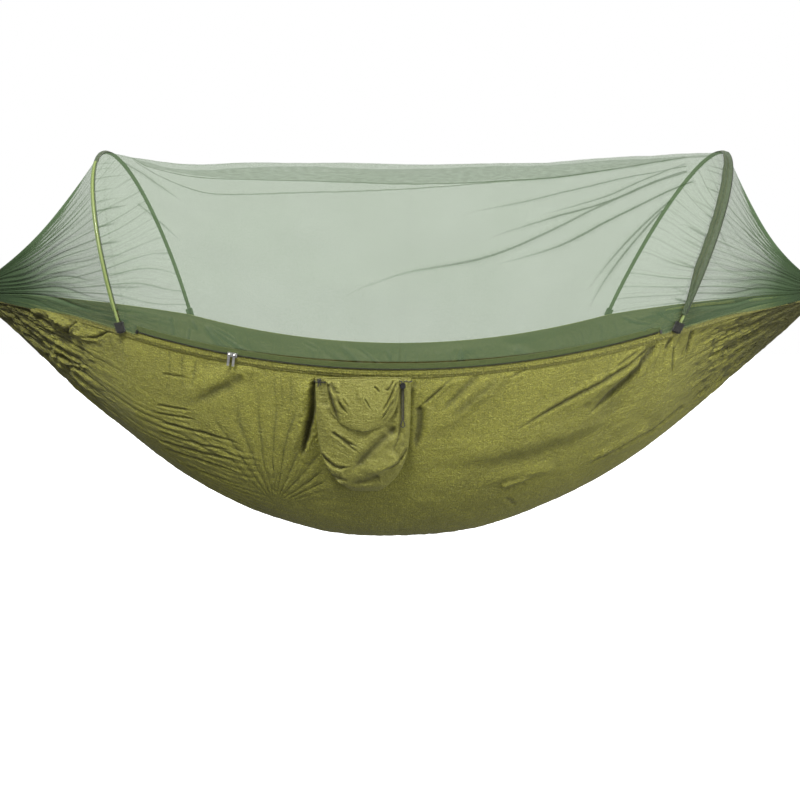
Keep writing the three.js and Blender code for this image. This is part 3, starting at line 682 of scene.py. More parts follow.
RUBBER = moulded("cap_rubber", colour(48, 48, 46), colour(30, 30, 29), 0.6)
ALLOY = metal("anodised_alloy", colour(54, 56, 60), colour(28, 29, 32), 0.32)
STEEL = metal("zip_steel", colour(236, 236, 232), colour(200, 200, 196), 0.3)
SPRING = metal("spring_steel", colour(180, 180, 178), colour(130, 130, 128), 0.3)
FIBREGLASS = fibreglass("fibreglass_rod")

# ---- camera, lights and stage -----------------------------------------------------
CAMERA_PLACE = (0.003, -2.066, 0.081)
CAMERA_DOWN = 10.84  # degrees that it looks down by
CAMERA_LENS = 31.2
camera = bpy.data.objects.new("camera", bpy.data.cameras.new("camera"))
camera.location = Vector(CAMERA_PLACE) + Vector(MIDDLE)
camera.rotation_euler = (math.radians(90 - CAMERA_DOWN), 0, 0)
camera.data.lens = CAMERA_LENS
camera.data.sensor_width = 36
bpy.context.scene.collection.objects.link(camera)
bpy.context.scene.camera = camera


def softbox(name, place, size, power, aim=(0, 0, -0.2)):
    data = bpy.data.lights.new(name, "AREA")
    data.size = size
    data.energy = power
    made = bpy.data.objects.new(name, data)
    made.location = Vector(place) + Vector(MIDDLE)
    made.rotation_euler = (Vector(aim) - Vector(place)).to_track_quat("-Z", "Y").to_euler()
    bpy.context.scene.collection.objects.link(made)


softbox("key", (-0.9, -2.7, 3.2), 0.8, 180)
softbox("fill", (2.4, -2.8, 1.2), 2.2, 36)
softbox("front", (2.6, -2.0, -0.7), 2.0, 34)
softbox("behind", (0.4, 3.2, 1.8), 2.6, 30)

# The studio is white to the camera; its light comes mostly from above.
world = bpy.data.worlds.new("studio")
world.use_nodes = True
air = world.node_tree
around = air.nodes.new("ShaderNodeTexCoord")
height = air.nodes.new("ShaderNodeSeparateXYZ")
strength = air.nodes.new("ShaderNodeMapRange")
for key, value in {"From Min": -0.7, "From Max": 0.9, "To Min": 0.16, "To Max": 0.66}.items():
    strength.inputs[key].default_value = value
lighting = air.nodes["Background"]
lighting.inputs["Color"].default_value = (1, 1, 1, 1)
backdrop = air.nodes.new("ShaderNodeBackground")
backdrop.inputs["Color"].default_value = (1, 1, 1, 1)
choose = air.nodes.new("ShaderNodeMixShader")
rays = air.nodes.new("ShaderNodeLightPath")
for output, value in (
    (around.outputs["Generated"], height.inputs[0]),
    (height.outputs["Z"], strength.inputs["Value"]),
    (strength.outputs["Result"], lighting.inputs["Strength"]),
    (rays.outputs["Is Camera Ray"], choose.inputs[0]),
    (lighting.outputs[0], choose.inputs[1]),
    (backdrop.outputs[0], choose.inputs[2]),
    (choose.outputs[0], air.nodes["World Output"].inputs["Surface"]),
):
    air.links.new(output, value)
bpy.context.scene.world = world
bpy.context.scene.view_settings.view_transform = "Standard"

# A plain white floor below the hanging hammock, evenly lit and out of its light.
floor_mesh = bpy.data.meshes.new("floor")
FLOOR_HALF, FLOOR_DROP = 8.0, 0.45
corners = [(a * FLOOR_HALF, b * FLOOR_HALF, 0) for a, b in ((-1, -1), (1, -1), (1, 1), (-1, 1))]
floor_mesh.from_pydata(corners, [], [(0, 1, 2, 3)])
white = bpy.data.materials.new("floor_white")
white.use_nodes = True
paper = white.node_tree.nodes["Principled BSDF"]
paper.inputs["Base Color"].default_value = (1, 1, 1, 1)
paper.inputs["Emission Color"].default_value = (1, 1, 1, 1)
paper.inputs["Emission Strength"].default_value = 1.0
paper.inputs["Roughness"].default_value = 1.0
floor_mesh.materials.append(white)
floor = bpy.data.objects.new("floor", floor_mesh)
floor.location = (MIDDLE[0], MIDDLE[1], cad_box[0][2] - FLOOR_DROP)
floor.visible_diffuse = floor.visible_glossy = floor.visible_transmission = floor.visible_shadow = False
bpy.context.scene.collection.objects.link(floor)

# ---- the bed -----------------------------------------------------------------------
# Folds in the front wall as (start, end, bow, width, height), start and end being (x, z).
STAR = (-0.350, -0.575)
FRONT_FOLDS = [
    ((0.630, -0.150), (0.430, -0.300), -0.006, 0.012, 0.011),
    ((0.300, -0.165), (0.070, -0.345), 0.006, 0.013, 0.010),
    ((0.200, -0.168), (0.050, -0.250), 0.0, 0.009, 0.006),
    ((0.560, -0.300), (0.080, -0.430), 0.020, 0.022, 0.010),
    ((0.690, -0.335), (0.490, -0.460), 0.006, 0.009, 0.007),
    ((0.430, -0.455), (0.200, -0.500), -0.006, 0.010, 0.006),
    ((-0.235, -0.200), (-0.290, -0.440), 0.006, 0.012, 0.010),
    ((-0.345, -0.155), (-0.560, -0.262), -0.004, 0.016, 0.008),
    ((-1.060, -0.012), (-0.830, -0.120), -0.026, 0.008, 0.010),
    ((-1.020, -0.030), (-0.800, -0.165), -0.034, 0.009, 0.010),
    ((-0.860, -0.066), (-0.790, -0.110), 0.014, 0.006, 0.010),
]
BACK_FOLDS = [((-a, b), (-c, d), bow, width, height) for (a, b), (c, d), bow, width, height in FRONT_FOLDS]
# Creases in the front wall as (points, half width, depth, darkness of the painted shade in the valley),
# points being (x, z).
FRONT_CREASES = [
    # the pair from the right foot down to the left
    ([(0.670, -0.095), (0.630, -0.130), (0.555, -0.185), (0.400, -0.275), (0.265, -0.360)],
     0.0050, 0.006, 0.75),
    ([(0.655, -0.105), (0.580, -0.150), (0.535, -0.185)], 0.0035, 0.005, 0.6),
    ([(0.665, -0.105), (0.620, -0.165), (0.570, -0.220), (0.475, -0.315)], 0.0085, 0.009, 0.85),
    # from the edge towards the pocket
    ([(0.340, -0.160), (0.270, -0.200)], 0.0040, 0.006, 0.6),
    ([(0.285, -0.180), (0.195, -0.245), (0.110, -0.320)], 0.0140, 0.006, 0.42),
    ([(0.145, -0.185), (0.090, -0.235), (0.035, -0.285)], 0.0035, 0.004, 0.65),
    ([(0.205, -0.180), (0.100, -0.290)], 0.0090, 0.006, 0.3),
    ([(0.042, -0.200), (0.026, -0.240)], 0.0060, 0.005, 0.7),
    ([(0.052, -0.262), (0.054, -0.310), (0.040, -0.400)], 0.0100, 0.010, 0.65),
    # slack cloth lower down
    ([(0.600, -0.240), (0.425, -0.365), (0.080, -0.450)], 0.0320, 0.003, 0.24),
    ([(0.275, -0.505), (0.365, -0.475)], 0.0070, -0.006, 0.0),
    ([(0.295, -0.545), (0.335, -0.585)], 0.0060, 0.003, 0.3),
    ([(0.685, -0.360), (0.590, -0.410), (0.495, -0.465)], 0.0060, 0.006, 0.4),
    ([(0.800, -0.290), (0.640, -0.400)], 0.0060, 0.006, 0.35),
    # under the right foot
    ([(0.765, -0.075), (0.762, -0.110), (0.755, -0.160)], 0.0050, 0.006, 0.65),
    ([(0.710, -0.115), (0.722, -0.210)], 0.0032, 0.004, 0.5),
    ([(0.700, -0.092), (0.683, -0.135)], 0.0050, 0.005, 0.7),
    # crushed cloth at the right
    ([(0.935, -0.195), (1.025, -0.140), (1.110, -0.075)], 0.0050, 0.008, 0.75),
    ([(0.820, -0.270), (0.905, -0.235), (0.985, -0.190)], 0.0050, 0.008, 0.75),
    ([(0.800, -0.250), (0.860, -0.215)], 0.0040, 0.006, 0.6),
    ([(0.930, -0.115), (1.120, -0.055)], 0.0050, 0.008, 0.8),
    ([(0.860, -0.150), (0.950, -0.125)], 0.0040, 0.007, 0.7),
    ([(0.880, -0.090), (0.990, -0.062)], 0.0040, 0.007, 0.7),
    # under the left end of the zip
    ([(-0.395, -0.185), (-0.460, -0.225), (-0.560, -0.275)], 0.0140, 0.004, 0.42),
    ([(-0.615, -0.190), (-0.535, -0.200)], 0.0030, 0.003, 0.35),
    ([(-0.640, -0.275), (-0.530, -0.290)], 0.0030, 0.004, 0.4),
    ([(-0.650, -0.298), (-0.520, -0.315)], 0.0030, 0.004, 0.4),
    # long wrinkles low on the left
    ([(-0.645, -0.325), (-0.485, -0.358), (-0.395, -0.385)], 0.0035, 0.005, 0.6),
    ([(-0.660, -0.352), (-0.540, -0.385), (-0.420, -0.400)], 0.0035, 0.005, 0.55),
    ([(-0.670, -0.385), (-0.520, -0.415), (-0.385, -0.435)], 0.0038, 0.005, 0.6),
    ([(-0.665, -0.412), (-0.520, -0.445), (-0.405, -0.478)], 0.0038, 0.005, 0.6),
    ([(-0.640, -0.455), (-0.420, -0.520)], 0.0035, 0.005, 0.5),
    # the deep one left of the pocket
    ([(-0.212, -0.190), (-0.217, -0.270), (-0.240, -0.350), (-0.262, -0.430)], 0.0075, 0.020, 1.0),
    # the twist near the left end of the edge
    ([(-1.045, -0.100), (-0.965, -0.135), (-0.945, -0.178), (-0.815, -0.190)], 0.0045, 0.008, 0.85),
    ([(-0.940, -0.030), (-0.855, -0.055), (-0.880, -0.085), (-0.930, -0.100)], 0.0040, 0.008, 0.85),
    ([(-0.740, -0.075), (-0.790, -0.098), (-0.850, -0.100)], 0.0035, 0.006, 0.8),
    ([(-1.130, -0.020), (-0.980, -0.145), (-0.800, -0.190)], 0.0055, 0.008, 0.75),
    ([(-1.090, -0.012), (-0.985, -0.060), (-0.875, -0.125)], 0.0050, 0.008, 0.8),
]
BACK_CREASES = [([(-a, b) for a, b in points], *rest) for points, *rest in FRONT_CREASES]
CLOTH_LENGTH = 2.90  # the uncut length and width of the bed's cloth
CLOTH_WIDTH = 1.40


def equal_arc(width, depth, share):
    """Angles that part a half ellipse, width by depth, into shares of its length."""
    angle = np.linspace(0, np.pi, 361)
    steps = np.hypot(width * np.diff(np.cos(angle)), depth * np.diff(np.sin(angle)))
    gone = np.concatenate([[0], np.cumsum(steps)])
    return np.interp(share * gone[-1], gone, angle)


def star_rays(x, z):
    """Fine folds that fan up from the low place where the cloth hangs from, and painted shade in their
    valleys.
    """
    out, up = x - STAR[0], z - STAR[1]
    far, turn = np.hypot(out, up), np.arctan2(up, out)
    window = rise_fall(turn, 0.12, 0.5, 2.0, 2.5) * smooth(far, 0.012, 0.06)
    fan = pleat(turn * 5.5 + 0.35 * ripple(far * 9, turn * 2, 15)) - 0.6
    fine = pleat(turn * 15 + 0.8 * ripple(far * 12, turn * 5, 17)) - 0.6
    wide_reach, fine_reach = 1 - smooth(far, 0.22, 0.42), 1 - smooth(far, 0.10, 0.30)
    dark = 0.4 * wide_reach * (1 - smooth(fan, -0.5, -0.15))
    dark = dark + 0.25 * fine_reach * (1 - smooth(fine, -0.5, -0.2))
    return window * (0.0034 * fan * wide_reach + 0.0017 * fine * fine_reach), window * dark


def bed_relief(x, v, z, front):
    """How far the cloth stands out from the smooth bed, and the painted shade in its folds' gaps."""
    reach = np.abs(x)
    edge = np.minimum(v, 1 - v)
    gathered = smooth(reach, 0.64, 1.04)
    tight = 1 - 0.66 * smooth(reach, 1.06, 1.235)
    warp = 1.1 * ripple(x * 2.2, v * 3, 5)
    fan = 0.0085 * (pleat(v * 21 + warp) - 0.65) + 0.0045 * (pleat(v * 52 + 2 * warp) - 0.65)
    broken = 0.45 + 0.55 * smooth(ripple(x * 6, v * 14, 9), -0.5, 0.4)
    relief = gathered * tight * fan * broken
    # long fine wrinkles low on the left, following the keel, with painted shade between them
    long_lines = rise_fall(x, -0.90, -0.66, -0.44, -0.34)
    long_lines = long_lines * rise_fall(v, 0.13, 0.22, 0.46, 0.56)
    patchy = 0.35 + 0.65 * smooth(ripple(x * 5, v * 26, 23), -0.3, 0.4)
    rows = pleat(v * 58 + 1.6 * ripple(x * 5, v * 8, 21))
    relief += 0.0042 * long_lines * patchy * (rows - 0.6)
    gaps = 0.42 * long_lines * patchy * (1 - smooth(rows, 0.1, 0.45))
    # crushed cloth near both ends of the edge, painted darker as shade in its creases and towards the ends
    crushed = rise_fall(reach, 0.72, 0.92, 1.10, 1.22) * (1 - smooth(edge, 0.24, 0.46))
    crush = crumple(x * 13, v * 26, 31)
    relief += 0.0105 * crushed * (crush - 0.45)
    gaps += 0.85 * crushed * (1 - smooth(crush, 0.15, 0.34))
    grain = crumple(x * 36, v * 80, 33, 2)
    relief += 0.0026 * crushed * (grain - 0.4)
    end_shade = (0.6 + 0.5 * smooth(x, 0.0, 0.5)) * smooth(reach, 0.88, 1.10)
    gaps += 0.8 * crushed * (1 - smooth(grain, 0.10, 0.26)) + end_shade
    # Painted shade in the valleys of the gathered pleats.
    gaps += 0.8 * gathered * broken * (1 - smooth(pleat(v * 21 + warp), 0.15, 0.45)) * smooth(reach, 0.8, 1.0)
    # puckers that hang from the stitching of the edge, with painted shade between them
    hung = rise_fall(edge, 0.006, 0.03, 0.04, 0.13)
    lengths = smooth(ripple(x * 12, 0.5, 25), -0.4, 0.5)
    pucker = pleat(x * 33 + v * 9 + 1.4 * ripple(x * 9, v * 9, 27))
    relief += 0.0026 * hung * lengths * (pucker - 0.6)
    gaps += 0.35 * hung * lengths * (1 - smooth(pucker, 0.1, 0.5))
    # creases everywhere
    relief += 0.0020 * (crumple(x * 11, v * 16, 41) - 0.45)
    relief += 0.0011 * (crumple(x * 33, v * 46, 51, 2) - 0.4)
    relief += 0.007 * ripple(x * 3.1, v * 4.2, 61)
    walls = ((front, FRONT_FOLDS, FRONT_CREASES, 1), (~front, BACK_FOLDS, BACK_CREASES, -1))
    for here, lines, sharp, sense in walls:
        height, dark = creases(x[here], z[here], sharp)
        rays, between = star_rays(sense * x[here], z[here])
        relief[here] += folds(x[here], z[here], lines) + height + rays
        # Painted shade in the creases' valleys and between the star's rays.
        gaps[here] = np.maximum(gaps[here], dark) + between
    under_pocket = smooth(np.abs(x - POCKET_X), 0.10, 0.14)
    under_pocket = np.maximum(under_pocket, 1 - smooth(z, -0.55, -0.50) * front)
    shown = under_pocket * smooth(edge, 0.004, 0.03)
    return relief * shown, gaps * shown


def hollowness(relief, size=7):
    """How deep each place lies under the mean of those around it, 0 to 1."""
    mean = relief
    for axis in (0, 1):
        padded = np.concatenate([mean.take([0] * size, axis), mean, mean.take([-1] * size, axis)], axis)
        total = np.cumsum(padded, axis)
        count = mean.shape[axis]
        ahead, behind = total.take(range(2 * size, 2 * size + count), axis), total.take(range(count), axis)
        mean = (ahead - behind) / (2 * size)
    return np.clip((mean - relief) / 0.0042, 0, 1)


def bed():
    rows, columns = 860, 470
    x = np.linspace(-GATHER_X, GATHER_X, rows)
    width, top = rim(x)
    width = width - EDGE_INSET - 0.001
    depth = top - keel(x) - 0.001
    share = np.linspace(0, 1, columns)
    angle = np.array([equal_arc(w, d, share) for w, d in zip(width, depth)])
    grid = np.stack([
        np.broadcast_to(x[:, None], angle.shape),
        -width[:, None] * np.cos(angle),
        top[:, None] - depth[:, None] * np.sin(angle),
    ], -1)
    outward = -grid_normals(grid)
    if outward[rows // 2, columns // 2, 2] > 0:
        outward = -outward
    v = np.broadcast_to(share, angle.shape)
    relief, gaps = bed_relief(grid[..., 0], v, grid[..., 2], angle < np.pi / 2)
    grid = grid + relief[..., None] * outward
    stretch = CLOTH_LENGTH / (2 * GATHER_X)
    flat = np.stack([grid[..., 0] * stretch, v * CLOTH_WIDTH, np.zeros_like(v)], -1)
    pull = smooth(np.abs(grid[..., 0]), 0.62, 1.0)
    # This mark is painted shade: darker where the cloth lies below its surroundings and in the folds' gaps.
    marks = {"flat": flat, "pull": pull, "painted_shade": np.clip(0.5 * hollowness(relief, 9) + gaps, 0, 1)}
    made = closed_sheet("bed_cloth", grid, 0.0008, [OLIVE, SHADED_INNER], (0, 0, -1), marks=marks)
    join_body(made, "hammock", "hammock_body")
    return made


def rim_line(sign, out=0.0, down=0.0, count=400, limit=GATHER_X):
    x = np.linspace(-limit, limit, count)
    y, z = rim(x)
    return np.stack([x, sign * (y + out), z - down], 1)


def hem(name, node, sign, material):
    """The folded edge of the cloth, thickest at its rolled top, with two rows of stitches."""
    out = -EDGE_INSET + 0.0010
    line = rim_line(sign, out, 0.0075, 900)
    swell = 1 + 0.12 * ripple(line[:, 0] * 40, 3.3, 71)
    line[:, 1] += sign * 0.0006 * (pleat(line[:, 0] * 66 + ripple(line[:, 0] * 12, 0.0, 73)) - 0.6)
    section = np.array([
        (-0.0006, 0.0072), (0.0004, 0.0082), (0.0012, 0.0076), (0.0012, 0.0050), (0.0007, 0.0036),
        (0.0007, -0.0060), (0.0004, -0.0074), (-0.0004, -0.0074), (-0.0006, -0.0060),
    ])
    sections = section[None] * np.stack([swell, np.ones_like(swell)], 1)[:, None]
    solids = Solids()
    side = np.tile((0.0, sign, 0.0), (len(line), 1))
    tangent = unit(np.gradient(line, axis=0))
    side = unit(side - tangent * np.sum(side * tangent, 1, keepdims=True))
    if np.cross(tangent[0], side[0])[2] < 0:
        sections = sections * np.array([1, -1])
    solids.sweep(line, sections, side)
    made = solids.made(name, material)
    join_body(made, "hammock", node)
    rows = [(rim_line(sign, out + 0.0011, down, 300, FOOT_X + 0.36), (0, sign, 0), 0.0045, 0.0028, 0.0004)
            for down in (0.0062, 0.0125)]
    return made, stitches(f"{name}_stitches", rows, "hammock", THREAD)


body = bed()
front_hem = hem("front_hem", "front_edge_hem", -1, HEM)
back_hem = hem("back_hem", "back_edge_hem", 1, OLIVE)


# ---- net ---------------------------------------------------------------------------
def hoop_point(side, angle):
    hoop = HOOPS[side]
    up = hoop["rise"] * np.sin(angle)
    x = hoop["sign"] * (FOOT_X + up * math.sin(hoop["lean"]))
    return np.stack([x, -HOOP_Y * np.cos(angle), FOOT_Z + up * math.cos(hoop["lean"])], -1)


def edge_pull(angle):
    return (1 - np.sin(angle)) ** 2


def canopy(s, angle):
    """The net between the hoops, s from the left hoop to the right one."""
    point = hoop_point("left", angle) * (1 - s[..., None]) + hoop_point("right", angle) * s[..., None]
    y, z = rim(FOOT_X * (2 * s - 1))
    front = -np.sign(np.cos(angle))
    dip = NET_DIP * np.exp(-(((s - NET_DIP_AT) / NET_DIP_WIDTH) ** 2)) * np.minimum(1, s / NET_DIP_START)
    sag = np.sin(np.pi * s) * NET_SAG + dip
    point[..., 1] += edge_pull(angle) * front * (y - HOOP_Y) + 0.6 * sag * np.cos(angle) * np.sin(angle)
    point[..., 2] += edge_pull(angle) * (z - FOOT_Z) - sag * np.sin(angle) ** 2
    return point


def cone(side, s, angle):
    """The tapering net from a hoop, s = 0, to the gathered end, s = 1."""
    sign = HOOPS[side]["sign"]
    end = np.stack([
        np.full_like(angle, sign * GATHER_X),
        -GATHER_R * np.cos(angle),
        RIM_END_Z + 0.002 + GATHER_R * np.sin(angle),
    ], -1)
    point = hoop_point(side, angle) * (1 - s[..., None]) + end * s[..., None]
    y, z = rim(FOOT_X + s * (GATHER_X - FOOT_X))
    front = -np.sign(np.cos(angle))
    point[..., 1] += edge_pull(angle) * front * (y - HOOP_Y - s * (GATHER_R - HOOP_Y))
    point[..., 2] += edge_pull(angle) * (z - FOOT_Z - s * (RIM_END_Z - FOOT_Z)) + 0.0012
    sag = np.sin(np.pi * np.minimum(s, 1)) * HOOPS[side]["end_sag"] * np.sin(angle)
    point[..., 1] += sag * np.cos(angle)
    point[..., 2] -= sag * np.sin(angle)
    return point


# Drawn lines in the front panel: (share from left hoop to right, degrees round the hoop).
TENSION_LINES = [
    ([(0.93, 72), (0.73, 60), (0.50, 57)], 0.75),
    ([(0.93, 64), (0.755, 51.5), (0.68, 46.5), (0.55, 40)], 0.5),
    ([(0.93, 66), (0.81, 48), (0.675, 38.5)], 0.5),
    ([(0.93, 60), (0.805, 44.5), (0.72, 39), (0.61, 31.5)], 0.7),
    ([(0.93, 59), (0.815, 45), (0.74, 36), (0.64, 27.5), (0.49, 22.5), (0.36, 14)], 0.55),
    ([(0.94, 53), (0.815, 37), (0.75, 30), (0.63, 24)], 0.7),
    ([(0.91, 44), (0.845, 27), (0.80, 14)], 0.6),
    ([(0.90, 40), (0.835, 19), (0.81, 8)], 0.6),
    ([(0.04, 70), (0.10, 55), (0.15, 44)], 0.45),
    ([(0.07, 44), (0.14, 29)], 0.35),
]
BAND_LOW = [(0.03, 96), (0.05, 103.5), (0.215, 112), (0.375, 113.5), (0.515, 114.5), (0.755, 111), (0.95, 98)]
BAND_HIGH = [(0.03, 95), (0.085, 102), (0.225, 100), (0.51, 97), (0.745, 95.5), (0.95, 94)]
SWAG = [(0.03, 100), (0.06, 113.5), (0.115, 121), (0.225, 122.5), (0.355, 120.5), (0.515, 117.5), (0.76, 111)]
NET_METRES = np.array([1.62, 0.42])  # metres for a whole s and for a radian round the hoop


def net_line(s, angle, points, width=0.0024):
    """1 along a line drawn on the net, fading to its ends."""
    scaled = [(a * NET_METRES[0], math.radians(b) * NET_METRES[1], 0) for a, b in points]
    scaled = catmull(scaled, 6 * len(points))[:, :2]
    away, along = near_line(s * NET_METRES[0], angle * NET_METRES[1], scaled)
    return np.exp(-((away / width) ** 2)), along


def hoop_wrinkles(away, angle, side):
    """Creases that carry on from the end's pleats past the front leg, away metres from it."""
    draw = np.random.default_rng(HOOPS[side]["sign"] + 9)
    total = np.zeros_like(away)
    for turn in np.linspace(0.12, 1.12, 12):
        turn = turn + draw.uniform(-0.03, 0.03)
        reach = draw.uniform(0.05, 0.13)
        slope = 0.6 * turn + (0.0 if side == "left" else 0.22)
        across = (angle - turn) * NET_METRES[1] - slope * away
        line = np.exp(-((across / 0.0021) ** 2)) * (1 - smooth(away, 0.4 * reach, reach))
        total = np.maximum(total, draw.uniform(0.3, 1.0) * line)
    return total


def canopy_half(side):
    sign = HOOPS[side]["sign"]
    rows, columns = 230, 560
    reach = np.linspace(0, 1, rows)[:, None]
    share = np.linspace(0, 1, columns)[None]
    # it ends above the zip's upper tape, and on the cloth's edge past the zip's ends
    lowest = 0.038 - 0.042 * smooth(reach * FOOT_X, ZIP_HALF - 0.007, ZIP_HALF - 0.001)
    angle = lowest + share * (np.pi + 0.012 - lowest)
    clear = 0.0038 + 0.001 * (1 - np.abs(np.sin(angle))) ** 12
    edge = 0.5 + 0.5 * sign * (1 - clear / FOOT_X)
    s = 0.5 + reach * (edge - 0.5)
    grid = canopy(s, angle)
    from_hoop = np.abs(s - (0 if sign < 0 else 1)) * NET_METRES[0]
    density, height = np.zeros_like(s), np.zeros_like(s)
    for points, strength in TENSION_LINES:
        line, along = net_line(s, angle, points)
        soft, _ = net_line(s, angle, points, 0.011)
        fade = 1 - smooth(along, 0.45, 1.0)
        density = np.maximum(density, strength * line * fade * 0.9)
        density = np.maximum(density, 0.16 * strength * soft * fade)
        height += 0.0035 * soft * fade * strength
    for points, strength in ((BAND_LOW, 0.75), (BAND_HIGH, 0.3), (SWAG, 0.5)):
        line, _ = net_line(s, angle, points)
        density = np.maximum(density, strength * line)
    degrees = np.degrees(angle)
    low_edge = np.interp(s, *zip(*BAND_LOW))
    high_edge = np.interp(s, *zip(*BAND_HIGH))
    band = smooth(degrees, high_edge - 0.3, high_edge + 0.5)
    band = band * (1 - smooth(degrees, low_edge - 0.4, low_edge + 0.3))
    density = np.maximum(density, 0.27 * band * (0.85 + 0.3 * ripple(s * 90, angle * 40, 81)))
    creases = hoop_wrinkles(from_hoop, angle, side)
    density = np.maximum(density, 0.55 * creases)
    seam = np.exp(-(((from_hoop - 0.030) / 0.0016) ** 2)) * (degrees < 88)
    density = np.maximum(density, 0.22 * seam * (np.sin(angle * 260) > 0))
    side_light = ripple(s * 5, angle * 2, 83)
    height += 0.004 * ripple(s * 9, angle * 5, 85) + 0.0012 * ripple(s * 40, angle * 22, 87)
    density = np.maximum(density, 0.012 + 0.012 * side_light)
    settle = smooth(np.sin(angle), 0.04, 0.25) * smooth(from_hoop, 0.0, 0.08)
    grid = grid + (height * settle)[..., None] * net_outward(grid)
    fall = 1 - smooth(np.abs(s - edge) / 0.5)
    weight = fall ** (1 + 30 * edge_pull(angle) ** 2)
    return net_sheet(f"net_canopy_{side}", grid, density, weight, s, angle)


def net_outward(grid):
    normals = grid_normals(grid)
    middle = normals[normals.shape[0] // 2, normals.shape[1] // 2]
    return normals if middle[2] > 0 else -normals


def net_end(side):
    rows, columns = 120, 760
    share = np.linspace(0, 1, columns)
    u = np.linspace(0, 1, rows)[:, None] * np.ones(columns)
    tuck = 0.012 + 0.13 * smooth(u, 0.25, 0.9)
    angle = share * (np.pi + 2 * tuck) - tuck
    start = 0.0065 - 0.004 * (1 - np.abs(np.sin(share * np.pi))) ** 12
    s = start[None] + u * (1 - start[None])
    grid = cone(side, s, angle)
    seed, haze = (91, 0.12) if side == "left" else (95, 0.05)
    warp = 0.9 * ripple(u * 2.5, angle * 2.5, seed)
    fan = pleat(angle / np.pi * 31 + warp)
    fine = pleat(angle / np.pi * 67 + 2.2 * warp)
    swell = smooth(u, 0.0, 0.35) * (1 - 0.75 * smooth(u, 0.55, 0.98))
    pick = smooth(ripple(angle * 14, u * 1.6, seed + 1), -0.35, 0.35)
    height = 0.0062 * swell * (fan - 0.6) + 0.0022 * swell * (fine - 0.6)
    valley = (1 - fan) ** 6 * (0.35 + 0.65 * pick)
    hair = (1 - fine) ** 7 * (0.5 - 0.3 * pick)
    grow = 0.35 + 0.65 * smooth(u, 0.05, 0.5)
    density = np.maximum(0.95 * valley, 0.8 * hair) * grow
    density = density + 0.95 * smooth(u, 0.40, 0.95) ** 1.3
    density = np.clip(density + 0.01 + haze * smooth(u, 0.05, 0.6), 0, 1.1)
    settle = smooth(np.sin(angle), 0.02, 0.12)
    grid = grid + (height * settle)[..., None] * net_outward(grid)
    weight = (1 - smooth(u)) ** (1 + 30 * edge_pull(angle) ** 2)
    return net_sheet(f"net_end_{side}", grid, density, weight, 0.33 * u, angle)


def net_sheet(name, grid, density, weight, along, angle):
    flat = np.stack([along * NET_METRES[0], angle * NET_METRES[1], np.zeros_like(angle)], -1)
    marks = {"flat": flat, "closeness": density, "weight": weight}
    made = closed_sheet(name, grid, 0.0005, [NET], (0, 0, 1), marks=marks)
    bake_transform(made)
    values = np.zeros(len(made.data.vertices), np.float32)
    made.data.attributes["weight"].data.foreach_get("value", values)
    made.data.attributes.remove(made.data.attributes["weight"])
    return made


for side in HOOPS:
    half = canopy_half(side)
    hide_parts("net_canopy")
    end = net_end(side)
    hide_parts(f"net_{side}_end")


# ---- hoops --------------------------------------------------------------------------
def hoop_square(side):
    """The direction square to a hoop's plane, away from the middle of the bed."""
    hoop = HOOPS[side]
    return np.array([hoop["sign"] * math.cos(hoop["lean"]), 0.0, -math.sin(hoop["lean"])])


def hoop_line(side, low, high, count=160):
    """Points along a hoop between two angles in degrees, and the directions out of its ring."""
    angle = np.radians(np.linspace(low, high, count))
    line = hoop_point(side, angle)
    tangent = unit(np.gradient(line, axis=0))
    outward = np.cross(tangent, hoop_square(side))
    centre = np.array([line[:, 0].mean(), 0.0, FOOT_Z + 0.1])
    if np.dot(outward[count // 2], line[count // 2] - centre) < 0:
        outward = -outward
    return line, outward


def sleeve_section(radius, tail, thick=0.0007):
    """A loop of cloth round the rod with a flat seam allowance of length tail beside it."""
    turn = np.radians(np.linspace(25, 335, 21))
    loop = [(-radius * math.cos(t), radius * math.sin(t)) for t in turn]
    return np.array([(-radius - tail, thick), *loop, (-radius - tail, -thick)])


def sleeve(side, low, high, radius, tail, name, material):
    line, outward = hoop_line(side, low, high, 260)
    square = hoop_square(side)
    section = sleeve_section(radius, tail)
    place = np.linspace(0, (high - low) * 0.14, len(line))
    swell = 1 + 0.05 * ripple(place * 9, 0.5, 101) + 0.03 * ripple(place * 30, 1.5, 102)
    sections = section[None] * swell[:, None, None]
    solids = Solids()
    tangent = unit(np.gradient(line, axis=0))
    if np.dot(np.cross(tangent[0], square), outward[0]) < 0:
        sections = sections * np.array([1, -1])
    solids.sweep(line, sections, square)
    made = solids.made(name, material)
    join_body(made, f"{side}_hoop")
    return made


def beside(side, low, high, square_by, out_by, radius, name, material):
    """A thin round edge that runs beside a hoop's rod."""
    line, outward = hoop_line(side, low, high, 200)
    solids = Solids()
    solids.sweep(line + square_by * hoop_square(side) + out_by * outward, circle(radius, 8), outward)
    made = solids.made(name, material)
    join_body(made, f"{side}_hoop")
    return made


def hoop_rod(side):
    lowest = math.degrees(math.asin(0.0006 / HOOPS[side]["rise"]))
    line, outward = hoop_line(side, lowest, 180 - lowest, 220)
    solids = Solids()
    solids.sweep(line, circle(HOOP_ROD_R, 16), outward)
    made = solids.made(f"{side}_rod", FIBREGLASS)
    join_body(made, f"{side}_hoop", f"{side}_hoop_rod")


def sleeve_stitches(side, low, high, offset):
    line, outward = hoop_line(side, low, high, 200)
    rows = []
    for face in (-1, 1):
        row = line - offset * hoop_square(side) + face * 0.0009 * outward
        rows.append((row, face * outward, 0.004, 0.0025, 0.0004))
    stitches(f"{side}_sleeve_stitches", rows, f"{side}_hoop", THREAD)


